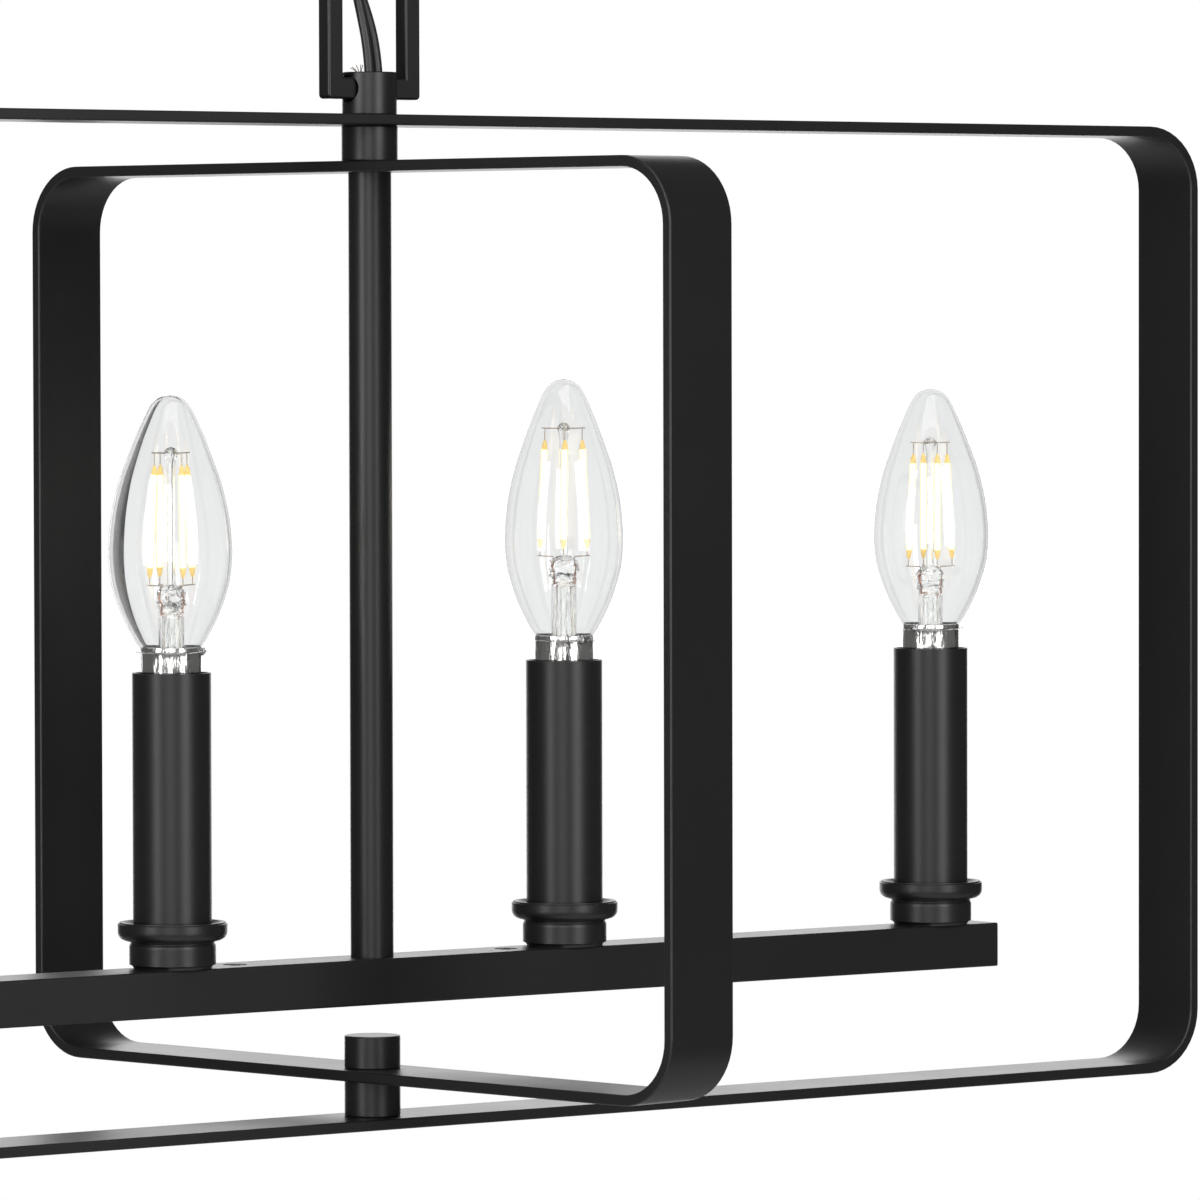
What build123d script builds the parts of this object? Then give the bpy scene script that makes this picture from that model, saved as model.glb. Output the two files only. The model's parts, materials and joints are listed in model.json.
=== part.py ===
from build123d import *
import os
from math import cos, hypot, pi, radians, sin, tan

# Linear island pendant: a four-candle light bar hung inside two crossed flat-band frames.
# Millimetres, +Z up.  The origin is the ceiling plane, midway between the two slots of the
# ceiling strap, and everything hangs below it.  +X runs along the light bar.

os.makedirs("parts", exist_ok=True)

# ---------------------------------------------------------------- driving dimensions

# crossed frames of flat steel band
outer_frame_length = 603.0
inner_frame_length = 260.5
inner_frame_height = 260.2
inner_frame_yaw = -82.0
band_width = 24.4
band_thickness = 3.1
frame_corner_radius = 19.0
band_edge_round = 0.5

# stack that carries the frames
spacer_diameter = 15.9
upper_spacer_height = 10.0
lower_spacer_height = 10.5
finial_height = 9.3
turned_edge_round = 0.4
hub_diameter = 15.5
hub_height = 12.1
hub_bore = 13.0
hub_floor = 1.9
hub_link_hole = 8.0
hub_link_hole_height = 7.4
pipe_diameter = 10.0
pipe_bore = 7.8
pipe_mouth_reaming = 0.9
pipe_nut_flats = 14.0
pipe_nut_height = 4.0

# stem
stem_diameter = 12.2
stem_engagement = 12.0
bar_above_finial = 9.3

# light bar of rectangular tube
bar_length = 449.0
bar_depth = 17.7
bar_height = 13.0
bar_wall = 1.2
bar_edge_round = 0.6
end_cap_thickness = 1.5
splice_cover_length = 82.0
splice_cover_width = 13.0
splice_cover_gap = 0.15
strap_bar_length = 112.0
strap_bar_width = 14.0
strap_bar_thickness = 2.0
strap_screw_pitch = 95.0
strap_screw_head = 7.0
strap_screw_shank = 4.0
strap_screw_length = 5.4
strap_screw_sunk = 0.2
splice_block_length = 20.0
splice_block_width = 12.0
splice_block_height = 4.2

# lights
light_count = 4
light_pitch = 137.2
cup_rim_diameter = 30.6
cup_base_diameter = 24.2
cup_neck_diameter = 23.4
cup_foot_diameter = 21.8
cup_height = 13.0
cup_seat_height = 7.5
cup_neck_height = 7.2
cup_lip_height = 3.6
cup_rim_round = 0.5
cup_lead_in = 1.5
cup_foot_arc_share = 1.2
sleeve_diameter = 22.0
sleeve_wall = 0.8
sleeve_length = 75.0
socket_diameter = 18.0
socket_length = 28.0
socket_drop = 2.5
socket_floor = 8.5
shell_diameter = 13.3
shell_bore = 12.2
shell_length = 18.0
contact_height = 0.5
contact_diameter = 5.0
bracket_thickness = 1.2
bracket_width = 8.0
bracket_foot_diameter = 15.0
bracket_offset = 7.6
bracket_tab_start = 3.0

# candle lamp
cap_diameter = 12.0
collar_diameter = 17.0
collar_height = 9.7
collar_lip_diameter = 19.6
collar_lip_thickness = 0.35
collar_lip_drop = 1.4
collar_wall = 0.4
cap_tip_diameter = 4.4
cap_tip_height = 1.5
cap_cone_height = 2.5
glass_diameter = 35.0
glass_neck_diameter = 17.6
glass_wall = 0.8
glass_height = 70.3
long_glass_height = 74.0
long_glass_number = 3
glass_tail = 6.0
mount_tube_diameter = 7.0
mount_pinch_height = 6.0
mount_pinch_share = 0.15
mount_wire_diameter = 1.08
filament_count = 4
filament_diameter = 1.8
filament_circle = 12.0
filament_length = 28.5
filament_rise = 4.0

# chain links
link_width = 32.0
link_height = 74.0
link_bar = 5.2
link_end = 6.0
link_corner_radius = 1.2
link_edge_round = 0.7

# ceiling fitting
canopy_diameter = 127.0
canopy_depth = 20.0
canopy_wall = 1.0
canopy_edge_radius = 6.0
loop_width = 30.0
loop_window_height = 22.0
loop_boss_diameter = 16.0
loop_boss_top = 12.0
loop_thread_depth = 6.0
ring_diameter = 26.0
ring_height = 5.5
ring_gap = 0.5
ring_edge_round = 1.0
ceiling_strap_length = 108.0
ceiling_strap_width = 20.0
ceiling_strap_thickness = 2.5
ceiling_slot_pitch = 88.9
ceiling_slot_length = 13.0
ceiling_slot_width = 4.8
ceiling_pipe_rise = 6.0
ground_screw_head = 8.0
ground_screw_head_height = 2.4
ground_screw_shank = 4.0
ground_screw_length = 6.0
ground_screw_offset = 24.0
driver_slot = 1.0

# screw under the frames
bottom_screw_diameter = 5.0
bottom_screw_head = 9.4
bottom_screw_bite = 6.5
hex_socket_flats = 3.0
hex_socket_depth = 1.3

# wires
lead_diameter = 2.8
lead_spacing = 2.9
socket_lead_diameter = 1.8
socket_lead_bend = 3.0
socket_lead_spacing = 2.6
socket_lead_inset = 1.0
socket_lead_gap = 1.0
socket_lead_jog_start = 16.0
socket_lead_jog_length = 20.0
lead_lean_drop = 10.0
lead_mouth_rise = 0.8
lead_beside_bar_rise = 4.2
ground_wire_diameter = 1.2
strand_diameter = 0.22
strand_count = 8
strand_length = 2.8
strand_root_drop = 0.6
strand_least_lean = -12.0
strand_most_lean = 62.0
strand_heading = 143.0
largest_bend_share = 0.45

# clearances, each on the radius or on one side
thread_clearance = 0.05
pass_clearance = 0.2
swing_clearance = 0.1
slip_clearance = 0.1
gap_fit = 0.1

# ---------------------------------------------------------------- heights and places

link_swing_radius = hypot(link_bar / 2 - link_edge_round, link_end / 2 - link_edge_round) + link_edge_round
link_pivot_drop = link_swing_radius + swing_clearance
link_pitch = link_height - link_end - link_end / 2 - link_pivot_drop

canopy_floor_z = -canopy_depth
loop_top_z = canopy_floor_z - ring_height - ring_gap
loop_pivot_z = loop_top_z - link_end - loop_window_height - link_end / 2
upper_link_pivot_z = loop_pivot_z - link_pitch
hub_pivot_z = upper_link_pivot_z - link_pitch
outer_top_z = hub_pivot_z - hub_link_hole_height
hub_top_z = outer_top_z + hub_height
inner_top_z = outer_top_z - band_thickness - upper_spacer_height
stem_top_z = inner_top_z - band_thickness
inner_bottom_z = inner_top_z - inner_frame_height
finial_z = inner_bottom_z + band_thickness
bar_z = finial_z + finial_height + bar_above_finial + bar_height
stem_length = stem_top_z - bar_z
outer_bottom_z = inner_bottom_z - lower_spacer_height - band_thickness
outer_frame_height = outer_top_z - outer_bottom_z

pipe_hole = pipe_diameter + 2 * pass_clearance
tapped_pipe_hole = pipe_diameter + 2 * thread_clearance
light_places = [(index - (light_count - 1) / 2) * light_pitch for index in range(light_count)]

seat_z = bar_z + cup_seat_height
sleeve_top_z = seat_z + sleeve_length
socket_top_z = sleeve_top_z - socket_drop
socket_bottom_z = socket_top_z - socket_length
contact_z = socket_bottom_z + socket_floor + contact_height
neck_z = socket_top_z + collar_height

strap_bar_z = bar_z - bar_wall
strap_nut_z = strap_bar_z - strap_bar_thickness
pipe_end_z = strap_nut_z - pipe_nut_height
bar_floor_z = bar_z - bar_height + bar_wall

# ---------------------------------------------------------------- shared shapes


def rod(diameter, height, x=0.0, y=0.0, z=0.0):
    """A round bar standing on the height z."""
    return Pos(x, y, z) * Cylinder(diameter / 2, height, align=(Align.CENTER, Align.CENTER, Align.MIN))


def pipe(diameter, bore, height, x=0.0, y=0.0, z=0.0):
    """A round tube standing on the height z."""
    return rod(diameter, height, x, y, z) - rod(bore, height, x, y, z)


def block(length, depth, height, x=0.0, y=0.0, z=0.0):
    """A rectangular block standing on the height z."""
    return Pos(x, y, z) * Box(length, depth, height, align=(Align.CENTER, Align.CENTER, Align.MIN))


def hex_nut(x, z, height=pipe_nut_height):
    """A hexagon nut on the pipe thread, flats facing along Y."""
    hexagon = RegularPolygon(pipe_nut_flats / 2, 6, major_radius=False)
    body = Pos(x, 0, z) * extrude(hexagon, height)
    return body - rod(tapped_pipe_hole, height, x, 0, z)


def turned(outline):
    """A solid turned about Z from lines and curves drawn at their radii in the XZ plane."""
    return revolve(make_face(outline), Axis.Z)


def smooth_radii(points, tightest=None):
    """One bend radius for each corner of a wire's route, as large as its two runs allow."""
    radii = []
    for before, corner, after in zip(points, points[1:], points[2:]):
        run_in = Vector(*corner) - Vector(*before)
        run_out = Vector(*after) - Vector(*corner)
        half_turn = radians(run_in.get_angle(run_out)) / 2
        largest = largest_bend_share * min(run_in.length, run_out.length) / tan(half_turn)
        radii.append(min(largest, tightest) if tightest else largest)
    return radii


def wire(name, points, diameter, tightest=None):
    """A round wire along straight runs joined by tangent arcs."""
    radii = smooth_radii(points, tightest)
    path = FilletPolyline(*points, radius=radii)
    section = Plane(origin=path @ 0, z_dir=path % 0) * Circle(diameter / 2)
    solid = sweep(section, path=path)
    share = solid.volume / (pi * (diameter / 2) ** 2 * path.length)
    print(f"{name}: length {path.length:.1f}, tightest bend {min(radii):.1f}, volume share {share:.4f}")
    return solid


def write(name, *shapes):
    """Writes one sub-part, a single solid or a group of separate ones."""
    pieces = [solid for shape in shapes for solid in shape.solids()]
    part = pieces[0] if len(pieces) == 1 else Compound(children=pieces)
    part.label = name
    export_step(part, f"parts/{name}.step")


# ---------------------------------------------------------------- crossed frames


def band_frame(length, height, top_z):
    """A flat band bent on edge into a rectangle with round corners, standing in the XZ plane."""
    outside = RectangleRounded(length, height, frame_corner_radius)
    inside = RectangleRounded(
        length - 2 * band_thickness, height - 2 * band_thickness, frame_corner_radius - band_thickness
    )
    band = extrude(Plane.XZ * (outside - inside), band_width / 2, both=True)
    rims = band.edges().group_by(Axis.Y)
    band = fillet(rims[0] + rims[-1], band_edge_round)
    return Pos(0, 0, top_z - height / 2) * band


def countersink(head, shank, depth, z):
    """The cone of a flat screw head whose flat faces down at the height z."""
    return Pos(0, 0, z) * Cone(head / 2, shank / 2, depth, align=(Align.CENTER, Align.CENTER, Align.MIN))


screw_cone = (bottom_screw_head - bottom_screw_diameter) / 2
screw_hole = bottom_screw_diameter + 2 * pass_clearance

outer_frame = band_frame(outer_frame_length, outer_frame_height, outer_top_z)
outer_frame -= rod(pipe_hole, band_thickness, z=outer_top_z - band_thickness)
outer_frame -= rod(screw_hole, band_thickness, z=outer_bottom_z)
outer_frame -= countersink(
    bottom_screw_head + 2 * thread_clearance, screw_hole, screw_cone, outer_bottom_z
)
write("outer_frame", outer_frame)

inner_frame = band_frame(inner_frame_length, inner_frame_height, inner_top_z)
inner_frame -= rod(pipe_hole, band_thickness, z=inner_top_z - band_thickness)
inner_frame -= rod(screw_hole, band_thickness, z=inner_bottom_z)
write("inner_frame", Rot(0, 0, inner_frame_yaw) * inner_frame)

# ---------------------------------------------------------------- stack at the bottom

lower_finial = rod(spacer_diameter, finial_height, z=finial_z)
lower_finial = fillet(lower_finial.edges().filter_by(GeomType.CIRCLE), turned_edge_round)
lower_finial -= rod(bottom_screw_diameter + 2 * thread_clearance, bottom_screw_bite + gap_fit, z=finial_z)
write("lower_finial", lower_finial)

lower_spacer = rod(spacer_diameter, lower_spacer_height, z=outer_bottom_z + band_thickness)
lower_spacer = fillet(lower_spacer.edges().filter_by(GeomType.CIRCLE), turned_edge_round)
lower_spacer -= rod(screw_hole, lower_spacer_height, z=outer_bottom_z + band_thickness)
write("lower_spacer", lower_spacer)

bottom_screw = rod(bottom_screw_diameter, finial_z + bottom_screw_bite - outer_bottom_z, z=outer_bottom_z)
bottom_screw += countersink(bottom_screw_head, bottom_screw_diameter, screw_cone, outer_bottom_z)
hex_socket = RegularPolygon(hex_socket_flats / 2, 6, major_radius=False)
bottom_screw -= Pos(0, 0, outer_bottom_z) * extrude(hex_socket, hex_socket_depth)
write("bottom_screw", bottom_screw)

# ---------------------------------------------------------------- stack at the top

top_hub = rod(hub_diameter, hub_height, z=outer_top_z)
top_hub = fillet(top_hub.edges().filter_by(GeomType.CIRCLE), turned_edge_round)
top_hub -= rod(tapped_pipe_hole, hub_height, z=outer_top_z)
top_hub -= rod(hub_bore, hub_height, z=outer_top_z + hub_floor)
top_hub -= Pos(0, 0, hub_pivot_z) * Rot(0, 90, 0) * Cylinder(hub_link_hole / 2, 2 * hub_diameter)
write("top_hub", top_hub)

upper_spacer = rod(spacer_diameter, upper_spacer_height, z=inner_top_z)
upper_spacer = fillet(upper_spacer.edges().filter_by(GeomType.CIRCLE), turned_edge_round)
upper_spacer -= rod(pipe_hole, upper_spacer_height, z=inner_top_z)
write("upper_spacer", upper_spacer)

upper_nipple_z = stem_top_z - stem_engagement
upper_nipple_height = outer_top_z + hub_floor - upper_nipple_z
upper_nipple = pipe(pipe_diameter, pipe_bore, upper_nipple_height, z=upper_nipple_z)
mouth = upper_nipple.edges().filter_by(GeomType.CIRCLE).group_by(Axis.Z)[-1].sort_by(SortBy.RADIUS)[0]
write("upper_nipple", chamfer(mouth, pipe_mouth_reaming))

write("stem", pipe(stem_diameter, tapped_pipe_hole, stem_length, z=bar_z))

stem_nipple_height = bar_z + stem_engagement - pipe_end_z
write("stem_nipple", pipe(pipe_diameter, pipe_bore, stem_nipple_height, z=pipe_end_z))

# ---------------------------------------------------------------- light bar


def slot_plate(length, width, thickness, z):
    """A plate with half-round ends, standing on the height z."""
    return Pos(0, 0, z) * extrude(SlotOverall(length, width), thickness)


screw_places = [-strap_screw_pitch / 2, strap_screw_pitch / 2]
screw_head_z = bar_z - strap_screw_sunk

light_bar = block(bar_length, bar_depth, bar_height, z=bar_z - bar_height)
light_bar = fillet(light_bar.edges().filter_by(Axis.X), bar_edge_round)
light_bar -= block(bar_length, bar_depth - 2 * bar_wall, bar_height - 2 * bar_wall, z=bar_floor_z)
light_bar -= slot_plate(splice_cover_length, splice_cover_width, bar_wall, bar_z - bar_wall)
for place in light_places:
    light_bar -= rod(pipe_hole, bar_wall, place, 0, bar_z - bar_wall)
for place in screw_places:
    light_bar -= Pos(place, 0, bar_z) * Rot(180, 0, 0) * Cone(
        strap_screw_head / 2 + thread_clearance,
        strap_screw_shank / 2 + thread_clearance,
        bar_wall,
        align=(Align.CENTER, Align.CENTER, Align.MIN),
    )
write("light_bar", light_bar)

cap_plate = Box(
    end_cap_thickness, bar_depth - 2 * bar_wall - 2 * gap_fit, bar_height - 2 * bar_wall - 2 * gap_fit
)
cap_x = (bar_length - end_cap_thickness) / 2
write("bar_end_caps", *[Pos(side * cap_x, 0, bar_z - bar_height / 2) * cap_plate for side in (-1, 1)])

splice_cover = slot_plate(
    splice_cover_length - 2 * splice_cover_gap,
    splice_cover_width - 2 * splice_cover_gap,
    bar_wall,
    bar_z - bar_wall,
)
write("splice_cover", splice_cover - rod(pipe_hole, bar_wall, z=bar_z - bar_wall))

inner_strap = block(strap_bar_length, strap_bar_width, strap_bar_thickness, z=strap_nut_z)
inner_strap -= rod(pipe_hole, strap_bar_thickness, z=strap_nut_z)
for place in screw_places:
    inner_strap -= rod(strap_screw_shank + 2 * thread_clearance, strap_bar_thickness, place, 0, strap_nut_z)
write("inner_strap", inner_strap)


def strap_screw(place):
    """A flat-head screw sunk just below the top of the bar, with a hexagon socket."""
    cone_height = bar_wall - strap_screw_sunk
    head_radius = strap_screw_head / 2 - strap_screw_sunk
    head = Pos(place, 0, screw_head_z) * Rot(180, 0, 0) * Cone(
        head_radius, strap_screw_shank / 2, cone_height, align=(Align.CENTER, Align.CENTER, Align.MIN)
    )
    shank = rod(strap_screw_shank, strap_screw_length, place, 0, screw_head_z - strap_screw_length)
    recess = extrude(RegularPolygon(hex_socket_flats / 2, 6, major_radius=False), hex_socket_depth)
    return head + shank - Pos(place, 0, screw_head_z - hex_socket_depth) * recess


write("strap_screws", *[strap_screw(place) for place in screw_places])

splice_block = block(splice_block_length, splice_block_width, splice_block_height, z=bar_floor_z + gap_fit)
write("splice_block", splice_block)

nuts = [hex_nut(place, strap_bar_z - pipe_nut_height) for place in light_places]
write("bar_nuts", hex_nut(0, pipe_end_z), *nuts)

# ---------------------------------------------------------------- lights

cup_nipple_z = strap_bar_z - pipe_nut_height - gap_fit
cup_nut_z = seat_z + bracket_thickness
cup_nipple_top_z = cup_nut_z + pipe_nut_height
cup_nipple_height = cup_nipple_top_z - cup_nipple_z
write(
    "cup_nipples",
    *[pipe(pipe_diameter, pipe_bore, cup_nipple_height, place, 0, cup_nipple_z) for place in light_places],
)


def candle_cup():
    """A turned cup: round foot, slight neck and a thick rim around the seat of the sleeve."""
    foot, base = cup_foot_diameter / 2, cup_base_diameter / 2
    neck, rim = cup_neck_diameter / 2, cup_rim_diameter / 2
    hole, seat = pipe_hole / 2, sleeve_diameter / 2 + pass_clearance
    foot_round = base - foot
    shoulder = cup_neck_height - foot_round
    lip_bottom = cup_height - cup_lip_height
    rim_flat = rim - cup_rim_round
    seat_edge = cup_height - cup_lead_in
    outline = [
        Line((hole, 0), (foot, 0)),
        RadiusArc((foot, 0), (base, foot_round), cup_foot_arc_share * foot_round, short_sagitta=True),
        Line((base, foot_round), (base, shoulder)),
        Spline([(base, shoulder), (neck, cup_neck_height), (rim, lip_bottom + foot_round)],
               tangents=[(0, 1), (0, 1)]),
        Line((rim, lip_bottom + foot_round), (rim, cup_height - cup_rim_round)),
        RadiusArc((rim, cup_height - cup_rim_round), (rim_flat, cup_height), cup_rim_round),
        Line((rim_flat, cup_height), (rim - cup_lead_in, cup_height)),
        Line((rim - cup_lead_in, cup_height), (seat, seat_edge)),
        Line((seat, seat_edge), (seat, cup_seat_height)),
        Line((seat, cup_seat_height), (hole, cup_seat_height)),
        Line((hole, cup_seat_height), (hole, 0)),
    ]
    return turned([Plane.XZ * edge for edge in outline])


def socket_bracket(x):
    """A steel strap bent up from the cup seat to the underside of the socket."""
    foot = rod(bracket_foot_diameter, bracket_thickness, x, 0, seat_z)
    upright_height = socket_bottom_z - seat_z
    upright_y = bracket_offset + bracket_thickness / 2
    upright = block(bracket_width, bracket_thickness, upright_height, x, upright_y, seat_z)
    tab_length = bracket_offset + bracket_thickness - bracket_tab_start
    tab_y = bracket_offset + bracket_thickness - tab_length / 2
    tab = block(bracket_width, tab_length, bracket_thickness, x, tab_y, socket_bottom_z - bracket_thickness)
    toe = block(bracket_width, bracket_offset, bracket_thickness, x, bracket_offset / 2, seat_z)
    return foot + toe + upright + tab - rod(pipe_hole, bracket_thickness, x, 0, seat_z)


def socket_shell(x):
    """The threaded brass shell, drawn plain, and the contact under the lamp's tip."""
    shell = pipe(shell_diameter, shell_bore, shell_length, x, 0, contact_z)
    return shell, rod(contact_diameter, contact_height, x, 0, contact_z - contact_height)


def lamp_cap(x):
    """The lamp's metal cap: tip, cone, screw shell and the flared collar that grips the glass."""
    tip, screw, collar = cap_tip_diameter / 2, cap_diameter / 2, collar_diameter / 2
    cone_z = contact_z + cap_tip_height
    screw_z = cone_z + cap_cone_height
    lip_z = neck_z - collar_lip_drop
    cap = rod(cap_tip_diameter, cap_tip_height, x, 0, contact_z)
    cap += Pos(x, 0, cone_z) * Cone(tip, screw - collar_wall, cap_cone_height,
                                    align=(Align.CENTER, Align.CENTER, Align.MIN))
    cap += rod(cap_diameter, socket_top_z - screw_z, x, 0, screw_z)
    cap += rod(collar_diameter, neck_z - socket_top_z, x, 0, socket_top_z)
    cap += rod(collar_lip_diameter, collar_lip_thickness, x, 0, lip_z)
    cap -= rod(2 * (screw - collar_wall), socket_top_z - screw_z, x, 0, screw_z + collar_wall)
    return cap - rod(2 * (collar - collar_wall), collar_height, x, 0, socket_top_z + collar_wall)


# the candle outline of the glass, as shares of its height and of its largest radius
glass_outline = [(0.0, 0.503), (0.14, 0.77), (0.40, 1.0), (0.60, 0.875), (0.82, 0.56), (0.965, 0.235)]


def glass_body(height, inset):
    """The candle-shaped inside or outside of a lamp's glass, standing on its neck at the origin."""
    radius = glass_diameter / 2 - inset
    neck = glass_neck_diameter / 2 - inset
    sides = [(share * radius, up * height) for up, share in glass_outline]
    sides[0] = (neck, 0)
    top = (0, height - inset)
    side = Spline(sides)
    tip = Spline([sides[-1], top], tangents=[side % 1, (-1, 0)])
    outline = [Line((0, 0), sides[0]), side, tip, Line(top, (0, 0))]
    return turned([Plane.XZ * edge for edge in outline])


def lamp_glass(x, height):
    """The clear glass of a lamp, open at the neck, with its tail down inside the collar."""
    tail = collar_diameter - 2 * collar_wall - 2 * slip_clearance
    glass = glass_body(height, 0) - (glass_body(height, glass_wall) - rod(glass_diameter, glass_wall))
    glass += Pos(0, 0, -glass_tail) * pipe(tail, tail - 2 * glass_wall, glass_tail)
    glass -= Pos(0, 0, -glass_tail) * rod(tail - 2 * glass_wall, glass_tail + glass_wall)
    return Pos(x, 0, neck_z) * glass


def filament_mount(x, height):
    """The glass mount inside a lamp, with its flare in the neck, centre rod and upright filaments."""
    flare = collar_diameter - 2 * (collar_wall + slip_clearance + glass_wall + slip_clearance)
    pinch_z = mount_pinch_share * height
    lower_ring_z = pinch_z + mount_pinch_height
    filament_z = lower_ring_z + filament_rise
    upper_ring_z = filament_z + filament_length
    spoke = mount_wire_diameter
    mount = rod(flare, glass_wall, z=-glass_tail)
    mount += rod(mount_tube_diameter, pinch_z + glass_tail, z=-glass_tail)
    mount += block(mount_tube_diameter, mount_tube_diameter / 2, mount_pinch_height, z=pinch_z)
    mount += rod(filament_diameter, upper_ring_z + spoke - lower_ring_z, z=lower_ring_z)
    for index in range(filament_count):
        angle = 360 / filament_count * (index + 0.5)
        turn = Rot(0, 0, angle)
        mount += turn * rod(filament_diameter, filament_length, filament_circle / 2, 0, filament_z)
        mount += turn * rod(spoke, filament_z - lower_ring_z, filament_circle / 2, 0, lower_ring_z)
        for ring_z in (lower_ring_z, upper_ring_z):
            mount += turn * block(filament_circle / 2, spoke, spoke, filament_circle / 4, 0, ring_z)
    return Pos(x, 0, neck_z) * mount


sleeve_bore = sleeve_diameter - 2 * sleeve_wall
cup = candle_cup()
shells = []
brackets = []
for number, place in enumerate(light_places, 1):
    height = long_glass_height if number == long_glass_number else glass_height
    write(f"candle_cup_{number}", Pos(place, 0, bar_z) * cup)
    write(f"candle_sleeve_{number}", pipe(sleeve_diameter, sleeve_bore, sleeve_length, place, 0, seat_z))
    socket = rod(socket_diameter, socket_length, place, 0, socket_bottom_z)
    socket -= rod(shell_diameter + 2 * slip_clearance, socket_length, place, 0, contact_z - contact_height)
    write(f"socket_{number}", socket)
    write(f"lamp_cap_{number}", lamp_cap(place))
    write(f"lamp_glass_{number}", lamp_glass(place, height))
    write(f"lamp_mount_{number}", filament_mount(place, height))
    shells += socket_shell(place)
    brackets += [socket_bracket(place), hex_nut(place, cup_nut_z)]
write("socket_shells", *shells)
write("socket_brackets", *brackets)

# ---------------------------------------------------------------- chain links and ceiling fitting


def rectangular_link(width, height, plane):
    """A rectangular link with sharp window corners, centred on the origin in the given plane."""
    outside = RectangleRounded(width, height, link_corner_radius)
    window = Rectangle(width - 2 * link_bar, height - 2 * link_end)
    link = extrude(plane * (outside - window), link_bar / 2, both=True)
    axis = Axis.Y if plane == Plane.XZ else Axis.X
    rims = link.edges().group_by(axis)
    return fillet(rims[0] + rims[-1], link_edge_round)


lower_link_z = hub_pivot_z + (link_height - link_end) / 2
upper_link_z = upper_link_pivot_z + (link_height - link_end) / 2
write("chain_link_lower", Pos(0, 0, lower_link_z) * rectangular_link(link_width, link_height, Plane.XZ))
write("chain_link_upper", Pos(0, 0, upper_link_z) * rectangular_link(link_width, link_height, Plane.YZ))

loop_height = loop_window_height + 2 * link_end
canopy_loop = Pos(0, 0, loop_top_z - loop_height / 2) * rectangular_link(loop_width, loop_height, Plane.XZ)
boss_bottom_z = loop_top_z - link_end
boss_height = -loop_boss_top - boss_bottom_z
pipe_seat_z = -loop_boss_top - loop_thread_depth
canopy_loop += rod(loop_boss_diameter, boss_height, z=boss_bottom_z)
canopy_loop -= rod(pipe_bore, boss_height, z=boss_bottom_z)
canopy_loop -= rod(tapped_pipe_hole, loop_thread_depth, z=pipe_seat_z)
write("canopy_loop", canopy_loop)

ring = rod(ring_diameter, ring_height, z=canopy_floor_z - ring_height)
ring = fillet(ring.edges().group_by(Axis.Z)[0], ring_edge_round)
ring -= rod(loop_boss_diameter + 2 * thread_clearance, ring_height, z=canopy_floor_z - ring_height)
write("canopy_ring", ring)


def canopy_dish(radius, depth, corner):
    """The outside or inside of the canopy: a shallow round dish, open at the ceiling."""
    outline = [
        Line((0, 0), (radius, 0)),
        Line((radius, 0), (radius, corner - depth)),
        RadiusArc((radius, corner - depth), (radius - corner, -depth), corner),
        Line((radius - corner, -depth), (0, -depth)),
        Line((0, -depth), (0, 0)),
    ]
    return turned([Plane.XZ * edge for edge in outline])


canopy_radius = canopy_diameter / 2
canopy = canopy_dish(canopy_radius, canopy_depth, canopy_edge_radius)
canopy -= canopy_dish(
    canopy_radius - canopy_wall, canopy_depth - canopy_wall, canopy_edge_radius - canopy_wall
)
canopy -= rod(loop_boss_diameter + 2 * pass_clearance, canopy_wall, z=canopy_floor_z)
write("canopy", canopy)

ceiling_strap = block(
    ceiling_strap_length, ceiling_strap_width, ceiling_strap_thickness, z=-ceiling_strap_thickness
)
ceiling_strap -= rod(pipe_hole, ceiling_strap_thickness, z=-ceiling_strap_thickness)
ceiling_strap -= rod(
    ground_screw_shank + 2 * thread_clearance, ceiling_strap_thickness, ground_screw_offset, 0,
    -ceiling_strap_thickness,
)
for side in (-1, 1):
    slot = extrude(SlotOverall(ceiling_slot_length, ceiling_slot_width), ceiling_strap_thickness)
    ceiling_strap -= Pos(side * ceiling_slot_pitch / 2, 0, -ceiling_strap_thickness) * slot
write("ceiling_strap", ceiling_strap)

ceiling_pipe_height = ceiling_pipe_rise - pipe_seat_z
write("ceiling_nipple", pipe(pipe_diameter, pipe_bore, ceiling_pipe_height, z=pipe_seat_z))
write("ceiling_nuts", hex_nut(0, 0), hex_nut(0, -ceiling_strap_thickness - pipe_nut_height))

ground_screw_z = -ceiling_strap_thickness - ground_screw_head_height
ground_screw = rod(ground_screw_head, ground_screw_head_height, ground_screw_offset, 0, ground_screw_z)
ground_screw = fillet(ground_screw.edges().group_by(Axis.Z)[0], turned_edge_round)
ground_screw += rod(ground_screw_shank, ground_screw_length, ground_screw_offset, 0, -ceiling_strap_thickness)
ground_screw -= block(ground_screw_head, driver_slot, driver_slot, ground_screw_offset, 0, ground_screw_z)
write("ground_screw", ground_screw)

# ---------------------------------------------------------------- wires

# The two insulated leads leave the hub in front of the link's bar, pass behind the crossing of
# the two links, cross the upper link's window and enter the canopy loop.  Each route is cut
# where it crosses a link's middle, so that each stretch bends at one joint only.
left_lead_lower = [
    (-2.9, -4.15, -177.6), (-3.1, -3.9, -169.5), (-4.3, -1.9, -157.6), (-5.1, 0.8, -147.6),
]
left_lead_middle = [
    (-5.1, 0.8, -147.6), (-5.9, 3.5, -137.6), (-6.4, 6.2, -124.8), (-6.2, 6.4, -109.2),
    (-4.2, 3.3, -97.5), (-1.4, -0.7, -90.6),
]
left_lead_upper = [
    (-1.4, -0.7, -90.6), (1.4, -4.7, -83.7), (5.2, -6.2, -72.4), (5.8, -6.4, -57.4),
    (4.4, -4.4, -45.4), (1.9, -0.9, -37.4), (1.45, 0.0, -27.4),
]
right_lead_lower = [
    (0.05, -4.15, -177.6), (-0.1, -3.7, -169.5), (-1.4, -1.0, -157.6), (-3.1, 3.0, -147.6),
]
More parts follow.
